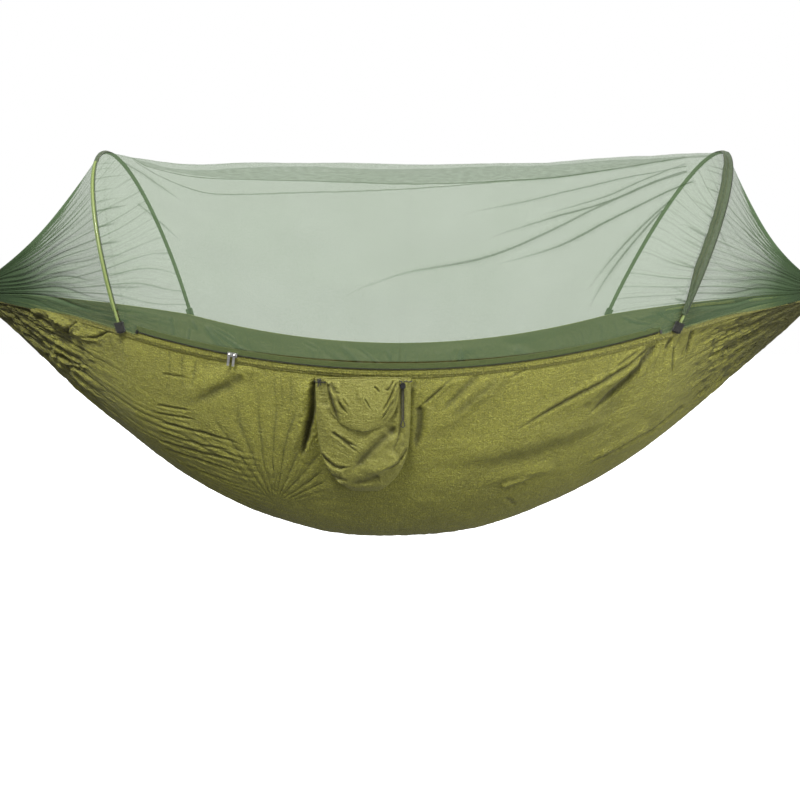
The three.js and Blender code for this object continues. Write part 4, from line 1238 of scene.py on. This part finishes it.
def foot_pocket(side, end):
    """A small black pocket that a rod stands in: a soft tube, wider at its hemmed mouth."""
    hoop = HOOPS[side]
    y_side = -1 if end == "front" else 1
    rows, columns = 40, 48
    height = np.linspace(-0.0080, 0.0200, rows)[:, None]
    turn = (np.arange(columns) * 2 * np.pi / columns)[None]
    share = smooth(height, -0.0085, -0.0045)
    hem_swell = 0.0005 * smooth(height, 0.0145, 0.0155)
    half_x = 0.0040 + 0.0064 * share + hem_swell
    half_y = 0.0022 + 0.0034 * share + hem_swell
    round_x, round_y = soft_square(turn, 0.45)
    dent = 0.0004 * ripple(turn * 3, height * 260, 111)
    local = np.stack([
        (half_x + dent) * round_x,
        y_side * HOOP_Y + (half_y + dent) * round_y,
        np.broadcast_to(height, (rows, columns)),
    ], -1)
    lean = hoop["sign"] * hoop["lean"]
    turned = np.stack([
        hoop["sign"] * FOOT_X + local[..., 0] * math.cos(lean) + local[..., 2] * math.sin(lean),
        local[..., 1],
        FOOT_Z - local[..., 0] * math.sin(lean) + local[..., 2] * math.cos(lean),
    ], -1)
    marks = {"flat": np.stack([local[..., 0] + local[..., 1], local[..., 2], 0 * local[..., 0]], -1)}
    outward = turned[rows // 2, columns // 2] - turned[rows // 2].mean(0)
    name = f"{side}_{end}_foot_pocket"
    made = closed_sheet(f"{name}_cloth", turned, 0.0009, [BLACK_CLOTH], outward, wrap=True, marks=marks)
    join_body(made, "hammock", name)


for side in HOOPS:
    hoop_rod(side)
    for end in ("front", "back"):
        foot_pocket(side, end)
        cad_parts[f"{side}_{end}_rod_cap"].data.materials.clear()
        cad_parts[f"{side}_{end}_rod_cap"].data.materials.append(RUBBER)

left_sleeve = sleeve("left", 66, 178.2, 0.0046, 0.0026, "left_sleeve", SLEEVE)
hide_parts("left_hoop_sleeve")
sleeve_stitches("left", 66, 176, 0.0060)
beside("left", 6, 67, -0.0048, 0.0, 0.0016, "left_front_binding", SLEEVE)
beside("left", 6, 67, 0.0046, 0.0, 0.0013, "left_front_piping", BINDING)
right_sleeve = sleeve("right", 74, 178.2, 0.0046, 0.0030, "right_sleeve", SLEEVE)
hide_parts("right_hoop_sleeve")
sleeve_stitches("right", 74, 176, 0.0062)
beside("right", 5, 77, 0.0022, 0.0042, 0.0016, "right_black_piping", PLASTIC)
beside("right", 7, 75, 0.0048, 0.0, 0.0014, "right_front_piping", BINDING)


def flat_band(side, low, high, inner, outer):
    """The wide flat band of doubled cloth between a bare rod and the net."""
    rows, columns = 300, 28
    line, outward = hoop_line(side, low, high, rows)
    across = np.linspace(0, 1, columns)[None]
    degrees = np.linspace(low, high, rows)[:, None]
    place = (degrees - low) * 0.009
    narrowed = 0.35 + 0.65 * smooth(degrees, low, low + 16) - 0.35 * smooth(degrees, high - 22, high)
    edge = outer * narrowed * (1 + 0.06 * ripple(place * 30, 0.5, 151))
    offset = inner + (edge - inner) * across
    wave = 0.0011 * ripple(place * 42, across * 3, 153) + 0.0006 * np.cos(across * np.pi * 6)
    wave = wave + (HOOP_ROD_R + 0.0016) * (1 - smooth(offset, 0.002, 0.010))
    grid = line[:, None] - offset[..., None] * hoop_square(side) + wave[..., None] * outward[:, None]
    # Painted shade along the band's outer edge.
    painted_shade = 0.4 * smooth(across * np.ones_like(wave), 0.93, 1.0)
    flat = np.stack([offset, place + 0 * offset, 0 * offset], -1)
    marks = {"flat": flat, "painted_shade": painted_shade}
    made = closed_sheet(f"{side}_band", grid, 0.0014, [SLEEVE], (0, -1, 0), marks=marks)
    join_body(made, f"{side}_hoop", f"{side}_hoop_sleeve")
    rows = []
    for offset_by in (0.0100, 0.0190):
        row = (line - offset_by * hoop_square(side) + 0.0022 * outward)[40:-30]
        rows.append((row, outward[40:-30], 0.004, 0.0025, 0.0004))
    stitches(f"{side}_band_stitches", rows, f"{side}_hoop", THREAD)


flat_band("right", 4.5, 77, -0.0012, 0.0245)


# ---- zip -----------------------------------------------------------------------------
ZIP_MID = 0.007
ARC_OUT = np.array([0.0, -math.sin(ARC_TILT), -math.cos(ARC_TILT)])
ARC_AXIS = np.array([0.0, -math.cos(ARC_TILT), math.sin(ARC_TILT)])
ARC_CENTRE = np.array([0.0, -RIM_FOOT_Y, FOOT_Z]) - (ARC_R - ARC_RISE) * ARC_OUT


def zip_point(angle, height, out):
    """A place on the zip: angle along its arc, height above the bed's edge, distance out."""
    radius = ARC_R - height * math.cos(ARC_TILT) + out * math.sin(ARC_TILT)
    along = height * math.sin(ARC_TILT) + out * math.cos(ARC_TILT)
    angle, radius, along = np.broadcast_arrays(angle, radius, along)
    return (ARC_CENTRE + radius[..., None] * np.sin(angle)[..., None] * np.array([1.0, 0, 0])
            + (radius * np.cos(angle))[..., None] * ARC_OUT + along[..., None] * ARC_AXIS)


def zip_tape(name, node, low, high, material, flutter):
    """One woven tape, with a bound outer edge that flutters a little."""
    rows, columns = 700, 14
    limit = math.asin(ZIP_HALF / ARC_R)
    angle = np.linspace(-limit, limit, rows)[:, None] * np.ones(columns)
    height = low + (high - low) * np.linspace(0, 1, columns)[None] * np.ones((rows, 1))
    away = smooth(np.abs(height - ZIP_MID), 0.003, 0.014)
    wave = flutter * away * ripple(angle * 150, height * 60, 121)
    grid = zip_point(angle, height, 0.0005 + wave)
    flat = np.stack([angle * ARC_R, height, 0 * height], -1)
    pucker = pleat(angle * ARC_R * 62 + 1.2 * ripple(angle * 30, 0.0, 123))
    # Painted shade in the puckers of the lower tape, away from the coil.
    painted_shade = 0.5 * away * (height < ZIP_MID) * (1 - smooth(pucker, 0.1, 0.6))
    marks = {"flat": flat, "painted_shade": painted_shade}
    made = closed_sheet(name, grid, 0.0008, [material], (0, -1, 0), marks=marks)
    join_body(made, "hammock", node)
    return made


def zip_teeth():
    """The closed coil: a small rounded tooth from each side in turn."""
    pitch = 0.0021
    limit = math.asin((ZIP_HALF - 0.008) / ARC_R)
    count = int(2 * limit * ARC_R / pitch)
    solids = Solids()
    section = rounded(0.00135, 0.0019, 0.0005, 2)
    for k in range(count):
        angle = -limit + (k + 0.5) * pitch / ARC_R
        low, high = (0.0041, 0.0080) if k % 2 else (0.0060, 0.0099)
        path = zip_point(np.full(2, angle), np.array([low, high]), 0.0024)
        solids.sweep(path, section, (1, 0, 0))
    made = solids.made("zip_teeth", COIL)
    join_body(made, "hammock", "zip_coil")


TAPE_FROM, TAPE_TO = 0.0003, 0.0155  # from the middle of the coil to a tape's two edges
zip_tape("zip_tape_lower", "zip_lower_tape", ZIP_MID - TAPE_TO, ZIP_MID - TAPE_FROM, OLIVE, 0.0007)
zip_tape("zip_tape_upper", "zip_upper_tape", ZIP_MID + TAPE_FROM, ZIP_MID + TAPE_TO, TAPE_GREEN, 0.0012)
zip_teeth()
zip_limit = math.asin(ZIP_HALF / ARC_R)
zip_turn = np.linspace(-zip_limit, zip_limit, 300)
zip_rows = [(zip_point(zip_turn, height, 0.0013), (0, -1, 0), 0.0042, 0.0026, 0.0003)
            for height in (-0.0060, -0.0010, 0.0150, 0.0200)]
stitches("zip_stitches", zip_rows, "hammock", THREAD)


# ---- storage pocket -------------------------------------------------------------------
def pocket_size(share):
    """Half width and half thickness of the pocket at a share of its depth."""
    half = POCKET_HALF * (1 - 0.72 * share**5)
    thick = 0.014 * np.sqrt(np.maximum(0, 1 - share**3)) + 0.003
    return half, thick


def pocket_y(share):
    z = POCKET_TOP + share * (POCKET_BOTTOM - POCKET_TOP)
    return -(wall_y(z) + 0.0045 + pocket_size(share)[1])


# Folds in the pocket's front as (start, end, bow, width, height), x from its middle, z,
# then its creases as (points, half width, depth, darkness of the painted shade in the valley).
POCKET_FOLDS = [
    ((0.075, -0.330), (-0.020, -0.420), 0.004, 0.012, 0.008),
    ((-0.112, -0.440), (-0.062, -0.492), 0.0, 0.006, 0.014),
    ((0.090, -0.395), (-0.004, -0.452), 0.008, 0.010, 0.012),
    ((-0.100, -0.250), (-0.090, -0.380), -0.004, 0.014, 0.006),
    ((0.108, -0.220), (0.104, -0.390), 0.004, 0.008, 0.006),
]
POCKET_CREASES = [
    ([(0.086, -0.312), (0.045, -0.350), (0.000, -0.400), (-0.040, -0.445)], 0.0120, 0.010, 0.6),
    ([(-0.116, -0.388), (-0.092, -0.412), (-0.072, -0.427), (-0.030, -0.425)], 0.0045, 0.008, 0.85),
    ([(-0.112, -0.425), (-0.085, -0.455), (-0.040, -0.470)], 0.0070, 0.008, 0.7),
    ([(-0.082, -0.325), (-0.050, -0.350), (-0.008, -0.372)], 0.0038, 0.006, 0.8),
    ([(-0.055, -0.352), (-0.014, -0.384)], 0.0032, 0.005, 0.6),
    ([(0.093, -0.195), (0.094, -0.300), (0.086, -0.350), (0.066, -0.400)], 0.0045, 0.006, 0.55),
    ([(0.112, -0.370), (0.085, -0.415), (0.040, -0.440)], 0.0040, 0.005, 0.5),
    ([(0.040, -0.452), (0.000, -0.470), (-0.050, -0.480)], 0.0100, 0.006, 0.5),
]
FLAP_FOLDS = [
    ((-0.086, -0.192), (-0.062, -0.290), -0.004, 0.005, 0.008),
    ((-0.076, -0.215), (-0.040, -0.275), -0.004, 0.005, 0.006),
    ((0.082, -0.200), (0.036, -0.310), 0.006, 0.006, 0.007),
    ((-0.010, -0.196), (0.004, -0.270), 0.004, 0.007, 0.003),
]
FLAP_CREASES = [
    ([(-0.088, -0.194), (-0.072, -0.262), (-0.056, -0.318)], 0.0045, 0.007, 0.85),
    ([(-0.080, -0.196), (-0.066, -0.220), (-0.052, -0.226)], 0.0055, 0.007, 0.85),
    ([(-0.066, -0.225), (-0.050, -0.262), (-0.034, -0.280)], 0.0035, 0.005, 0.7),
    ([(-0.050, -0.236), (-0.034, -0.262)], 0.0025, 0.003, 0.5),
    ([(0.084, -0.196), (0.060, -0.250), (0.040, -0.282)], 0.0030, 0.005, 0.65),
    ([(0.076, -0.240), (0.040, -0.300)], 0.0025, 0.004, 0.5),
    ([(0.028, -0.206), (0.044, -0.224)], 0.0025, 0.004, 0.6),
    ([(0.076, -0.192), (0.062, -0.215), (0.048, -0.212)], 0.0028, 0.004, 0.6),
    ([(0.004, -0.236), (0.022, -0.270)], 0.0022, 0.003, 0.4),
]


def pocket_sack():
    rows, columns = 190, 380
    share = np.linspace(0, 1, rows)[:, None] * np.ones(columns)
    turn = (np.arange(columns) + 0.5) * 2 * np.pi / columns * np.ones((rows, 1))
    half, thick = pocket_size(share)
    half, thick = half - 0.0006, thick - 0.0006
    shut = smooth(share, 0.93, 1.0)
    thick = thick * (1 - 0.8 * shut)
    round_x, round_y = soft_square(turn, 0.75)
    z = POCKET_TOP + share * (POCKET_BOTTOM - POCKET_TOP)
    across = half * round_x
    front = smooth(-round_y, 0.05, 0.5)
    slump = 0.006 * rise_fall(share, 0.45, 0.85, 0.9, 1.0) * front
    valleys, gaps = creases(across, z, POCKET_CREASES)
    crinkle = 0.0012 * (crumple(across * 19, z * 19, 131) - 0.45)
    relief = front * (folds(across, z, POCKET_FOLDS) + valleys + crinkle)
    relief += front * 0.0008 * (crumple(across * 55, z * 55, 133, 2) - 0.4)
    gathers = 0.0022 * (1 - smooth(share, 0.0, 0.12)) * (pleat(across / 0.011) - 0.5)
    relief = (relief + slump) * smooth(share, 0.0, 0.05) + gathers * (0.4 + 0.6 * front)
    y = pocket_y(share) + thick * round_y - relief
    hem_line = 0.0008 * (1 - smooth(share, 0.055, 0.065))
    y = y + hem_line * round_y
    grid = np.stack([POCKET_X + across, y, z], -1)
    flat = np.stack([across + 0.3 * round_y * thick, z, 0 * z], -1)
    # Painted shade in the pocket's hollows and crease valleys.
    painted_shade = np.clip(0.7 * hollowness(relief) + gaps * front, 0, 1)
    marks = {"flat": flat, "pull": 0.5 - 0.5 * smooth(share, 0.0, 0.5), "painted_shade": painted_shade}
    made = closed_sheet("pocket_sack", grid, 0.0009, [POCKET_OLIVE], (0, 1, 0), wrap=True, marks=marks)
    join_body(made, "hammock", "pocket_bag")
    return made


def flap_place(share, side):
    """A place on the flap: share of its drop, side from -1 to 1."""
    width = FLAP_HALF * np.maximum(0.0, 1 - share**3.2) ** 0.62
    z = POCKET_TOP + 0.001 - FLAP_DROP * share
    deep = np.clip((POCKET_TOP - z) / (POCKET_TOP - POCKET_BOTTOM), 0, 1)
    bulge = pocket_y(deep) - pocket_size(deep)[1]
    across = width * side
    valleys, gaps = creases(across, z, FLAP_CREASES)
    relief = folds(across, z, FLAP_FOLDS) + valleys + 0.0010 * (crumple(across * 24, z * 24, 141) - 0.45)
    relief = relief + 0.0007 * (crumple(across * 66, z * 66, 143, 2) - 0.4)
    droop = 0.0015 * smooth(share, 0.6, 1.0)
    y = bulge - 0.0075 - 0.004 * (1 - side**2) - relief * smooth(share, 0, 0.06) + droop
    return np.stack([POCKET_X + across, y, z], -1), across, relief, gaps


def pocket_flap():
    rows, columns = 130, 200
    share = (1 - (1 - np.linspace(0, 1, rows)) ** 1.6)[:, None] * 0.9985 * np.ones(columns)
    side = np.linspace(-1, 1, columns)[None] * np.ones((rows, 1))
    grid, across, relief, gaps = flap_place(share, side)
    # Painted shade in hollows and creases, and a painted shadow line along the flap's lower edge.
    painted_shade = np.clip(0.7 * hollowness(relief) + gaps + 0.8 * smooth(share, 0.955, 0.980), 0, 1)
    flat = np.stack([across, grid[..., 2], 0 * across], -1)
    marks = {"flat": flat, "pull": 0.4 - 0.4 * smooth(share, 0.0, 0.7), "painted_shade": painted_shade}
    made = closed_sheet("flap_cloth", grid, 0.0010, [POCKET_OLIVE], (0, -1, 0), marks=marks)
    join_body(made, "hammock", "pocket_flap")
    edge_turn = np.linspace(0.02, np.pi - 0.02, 160)
    inset = 0.94
    share_line = inset * np.sin(edge_turn) ** 0.6
    side_line = -np.sign(np.cos(edge_turn)) * np.abs(np.cos(edge_turn)) ** 0.35 * inset
    row = flap_place(share_line, side_line)[0] + np.array([0, -0.0007, 0])
    rows = [(row, (0, -1, 0), 0.0034, 0.0022, 0.0003)]
    return made, stitches("flap_stitches", rows, "hammock", THREAD)


sack = pocket_sack()
flap, flap_stitches = pocket_flap()


def corner_knot():
    """The mouth cord's other end, tied in a knot at the pocket's left corner."""
    centre = np.array([POCKET_X - 0.108, pocket_y(0.02) - 0.0150, POCKET_TOP - 0.0035])
    t = np.linspace(0, 2 * np.pi, 90)[:-1]
    loops = np.stack([np.sin(t) + 2 * np.sin(2 * t), -np.sin(3 * t), np.cos(t) - 2 * np.cos(2 * t)], 1)
    solids = Solids()
    solids.sweep(centre + 0.0017 * loops, circle(0.0012, 8), (0.3, 1, 0.2), closed=True)
    for sway, drop in ((-0.003, 0.016), (0.004, 0.012)):
        ends = [(0, 0, 0), (sway * 0.6, -0.0015, -drop * 0.5), (sway, 0.0, -drop)]
        solids.sweep(centre + catmull(ends, 14), circle(0.0012, 8), (1, 0, 0))
    made = solids.made("pocket_corner_knot", CORD)
    join_body(made, "hammock")


corner_knot()
RUN = 0.00175
TAIL_TOP = LOCK[2] - 0.0073
down_run = [(RUN, 0), (RUN, -0.020), (RUN, -0.045), (RUN, -0.065), (RUN, -0.080),
            (0.0034, -0.085), (0.0048, -0.090), (0.0042, -0.0945)]
tail_route = [*down_run, (0.0, -0.097), *[(-x, z) for x, z in reversed(down_run)]]
tail_points = catmull([(LOCK[0] + x, LOCK[1], TAIL_TOP + z) for x, z in tail_route], 80) + MIDDLE
tail_curve = bpy.data.curves.new("cord_tail", "CURVE")
tail_curve.dimensions = "3D"
tail_curve.bevel_depth = 0.0012
tail_curve.bevel_resolution = 4
tail_curve.use_fill_caps = True
spline = tail_curve.splines.new("POLY")
spline.points.add(len(tail_points) - 1)
spline.points.foreach_set("co", np.hstack([tail_points, np.ones((len(tail_points), 1))]).ravel())
tail_curve.materials.append(CORD)
cord_tail = bpy.data.objects.new("cord_tail", tail_curve)
bpy.context.scene.collection.objects.link(cord_tail)
join_body(cord_tail, "hammock", "pocket_cord_tail")


# ---- ends: gathered cloth, whipping, webbing and carabiners ---------------------------
def end_place(sign):
    """Moves points from an end's own frame, X along the pull and outwards, to the bed's."""
    def place(points):
        along = points[:, 0] * math.cos(PULL_ANGLE) - points[:, 2] * math.sin(PULL_ANGLE)
        up = points[:, 0] * math.sin(PULL_ANGLE) + points[:, 2] * math.cos(PULL_ANGLE)
        return np.stack([sign * (GATHER_X + along), sign * points[:, 1], up], 1)
    return place


def gather_cloth(side, sign):
    """The bundle of pleats that the bed and net end in, folded over and bound."""
    stretches = ((-0.012, 0.030, 22), (0.033, 0.058, 14), (0.061, 0.0805, 22))
    x = np.concatenate([np.linspace(*stretch) for stretch in stretches])
    profile = [(-0.012, 0.0225), (0.011, 0.0195), (0.034, 0.0148), (0.058, 0.0148), (0.070, 0.0188),
               (0.077, 0.0176), (0.0805, 0.0125)]
    radius = np.interp(x, *zip(*profile))
    turn = np.linspace(0, 2 * np.pi, 181)[:-1]
    bound = 1 - 0.75 * rise_fall(x, 0.025, 0.035, 0.056, 0.066)
    wave = pleat(turn[None] / np.pi * 13 + 0.5 * np.sin(x[:, None] * 40)) - 0.6
    fine = pleat(turn[None] / np.pi * 31 + np.sin(turn[None] * 3)) - 0.6
    ring = radius[:, None] * (1 + 0.11 * bound[:, None] * wave + 0.035 * bound[:, None] * fine)
    points = np.stack([
        np.broadcast_to(x[:, None], ring.shape), ring * np.cos(turn), ring * np.sin(turn)], -1)
    solids = Solids()
    solids.add(points.reshape(-1, 3), tube_faces(*ring.shape))
    made = solids.made(f"{side}_gather", OLIVE, end_place(sign))
    join_body(made, "hammock", f"{side}_gather_bundle")


def whipping(side, sign):
    """Cord wound tightly round the gathered cloth."""
    turns = 7
    t = np.linspace(0, 1, turns * 28)
    turn = t * turns * 2 * np.pi
    radius = 0.0164
    path = np.stack([0.0385 + t * 0.0155, radius * np.cos(turn), radius * np.sin(turn)], 1)
    outward = np.stack([0 * turn, np.cos(turn), np.sin(turn)], 1)
    solids = Solids()
    solids.sweep(path, circle(0.00118, 8), outward)
    made = solids.made(f"{side}_whipping", CORD, end_place(sign))
    join_body(made, "hammock", f"{side}_whipping_cord")


def webbing(side, sign):
    """A doubled strap over the gathered cloth that ends in an eye for the carabiner."""
    thick = 0.0018
    leg = 0.0196 + thick / 2
    eye_r = 0.007 + thick / 2
    eye_x = CARABINER_AT - (0.0063 - ROD_R)
    arc = np.radians(np.linspace(112, -112, 28))
    half = [(0.030, leg), (0.050, leg), (0.068, leg), (0.078, leg * 0.97), (0.090, 0.0110), (0.101, 0.0015),
            (0.108, thick / 2), (0.124, thick / 2), (0.131, 0.0030), (0.137, 0.0068)]
    eye = [(eye_x + eye_r * math.cos(a), eye_r * math.sin(a)) for a in arc]
    route = [*half, *eye, *[(x, -z) for x, z in reversed(half)]]
    path = catmull([(x, 0.0, z) for x, z in route], 260)
    solids = Solids()
    solids.sweep(path, rounded(0.021, thick, 0.0008), (0, 1, 0))
    made = solids.made(f"{side}_webbing", WEBBING, end_place(sign))
    points = np.concatenate(solids.points)
    gone = np.concatenate([[0], np.cumsum(np.linalg.norm(np.diff(path, axis=0), axis=1))])
    along = np.repeat(gone, len(points) // len(path))
    flat = np.stack([points[:, 1], along, 0 * along], 1)
    made.data.attributes["flat"].data.foreach_set("vector", flat.astype(np.float32).ravel())
    join_body(made, "hammock", f"{side}_webbing_loop")
    rows = []
    for face in (-1, 1):
        height = face * (thick + 0.0001)
        lines = [[(x, -0.008, height), (x, 0.008, height)] for x in (0.110, 0.114, 0.118, 0.122)]
        lines += [[(0.109, y, height), (0.123, y, height)] for y in (-0.0085, 0.0085)]
        rows += [(line, (0, 0, face), 0.0024, 0.0008, 0.0004) for line in lines]
    stitches(f"{side}_webbing_stitches", rows, "hammock", BLACK_THREAD, end_place(sign))


GATE_FROM, GATE_TO = 0.015, 0.059
HINGE_X = GATE_FROM + 0.003


def gate_y(x):
    return 0.0152 + (x - GATE_FROM) * 0.15


def carabiner_place(sign):
    outer = end_place(sign)

    def place(points):
        return outer(points + np.array([CARABINER_AT, 0, 0]))
    return place


def carabiner(side, sign):
    """The body: a round bar with flattened flanks, a hinge tang and a hooked nose."""
    points = [
        (0.0125, gate_y(0.0125)), (0.0056, 0.0152), (0.0014, 0.0138), (0, 0.0106), (0, 0.003),
        (0, -0.003), (0, -0.0104), (0.0014, -0.0138), (0.006, -0.0159), (0.020, -0.0166),
        (0.040, -0.0174), (0.060, -0.0182), (0.071, -0.0178), (0.079, -0.014), (0.0826, -0.007),
        (0.083, 0), (0.0806, 0.008), (0.075, 0.0154), (0.067, 0.0206),
        (GATE_TO + 0.0014, gate_y(GATE_TO)),
    ]
    path = catmull([(x, y, 0.0) for x, y in points], 240)
    t = np.linspace(0, 1, len(path))
    flank = rise_fall(t, 0.30, 0.40, 0.62, 0.72)
    turn = np.arange(28) * 2 * np.pi / 28
    taper = 1 - 0.12 * smooth(t, 0.97, 1.0) - 0.30 * (1 - smooth(t, 0.0, 0.03))
    power = 1 - 0.45 * flank
    wide, tall = soft_square(turn[None], power[:, None])
    radius = ROD_R * taper[:, None]
    section = np.stack([radius * wide * (1 - 0.08 * flank[:, None]), radius * tall], -1)
    solids = Solids()
    solids.sweep(path, section, (0, 0, 1))
    tang_y = gate_y(HINGE_X)
    solids.lathe([(-0.0012, 0.0), (-0.0012, 0.0029), (-0.0009, 0.0032), (0.0009, 0.0032), (0.0012, 0.0029),
                  (0.0012, 0.0)], (HINGE_X - 0.0002, tang_y, 0), (0, 0, 1), (1, 0, 0))
    made = solids.made(f"{side}_carabiner", ALLOY, carabiner_place(sign))
    join_body(made, f"{side}_carabiner", f"{side}_carabiner_body")


def gate(side, sign):
    """The gate: a round bar between two fork cheeks, grooved along its outer side."""
    start, end = HINGE_X + 0.0065, GATE_TO - 0.001
    x = np.linspace(start, end, 60)
    path = np.stack([x, gate_y(x), 0 * x], 1)
    t = np.linspace(0, 1, len(x))
    turn = np.arange(24) * 2 * np.pi / 24
    radius = 0.0037 * (1 - 0.16 * (1 - smooth(t, 0, 0.04)) - 0.22 * smooth(t, 0.95, 1.0))
    groove = rise_fall(t, 0.12, 0.2, 0.82, 0.9)
    dip = 1 - 0.16 * groove[:, None] * np.exp(-((np.sin((turn - np.pi / 2) / 2) / 0.16) ** 2))[None]
    dip = dip - 0.16 * groove[:, None] * np.exp(-((np.sin((turn + np.pi / 2) / 2) / 0.16) ** 2))[None]
    ring = radius[:, None] * dip
    section = np.stack([ring * np.cos(turn), ring * np.sin(turn)], -1)
    solids = Solids()
    solids.sweep(path, section, (0, 0, 1))
    for cheek in (-1, 1):
        plate = [(0.0020, 0.0), (0.0020, 0.0031), (0.0023, 0.0034), (0.0033, 0.0034),
                 (0.0036, 0.0030), (0.0036, 0.0)]
        solids.lathe([(cheek * a, r) for a, r in plate], (HINGE_X, gate_y(HINGE_X), 0), (0, 0, 1), (1, 0, 0))
        arm_end = start + 0.002
        arm_path = [(HINGE_X, gate_y(HINGE_X), cheek * 0.0028), (arm_end, gate_y(arm_end), cheek * 0.0024)]
        solids.sweep(arm_path, rounded(0.0056, 0.0015, 0.0005), (0, 1, 0))
    made = solids.made(f"{side}_gate_bar", ALLOY, carabiner_place(sign))
    join_body(made, f"{side}_gate", f"{side}_carabiner_gate")


for side, hoop in HOOPS.items():
    for build in (gather_cloth, whipping, webbing, carabiner, gate):
        build(side, hoop["sign"])

# ---- CAD pieces that keep their shape ---------------------------------------------------
KEPT = {
    "gate_pin": STEEL, "gate_spring": SPRING, "_stop": COIL, "_slider": STEEL, "_pull": STEEL,
    "pocket_mouth_cord": CORD, "cord_lock_barrel": PLASTIC, "cord_lock_button": PLASTIC,
    "cord_lock_spring": SPRING, "rod_cap": RUBBER,
}
for name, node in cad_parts.items():
    if node.hide_render:
        continue
    material = next((m for ending, m in KEPT.items() if name.endswith(ending)), None)
    if material is None:
        continue
    node.data.materials.clear()
    node.data.materials.append(material)
    bevel = node.modifiers.new("edges", "BEVEL")
    bevel.width = 0.0003
    bevel.limit_method = "ANGLE"
    bevel.angle_limit = math.radians(40)
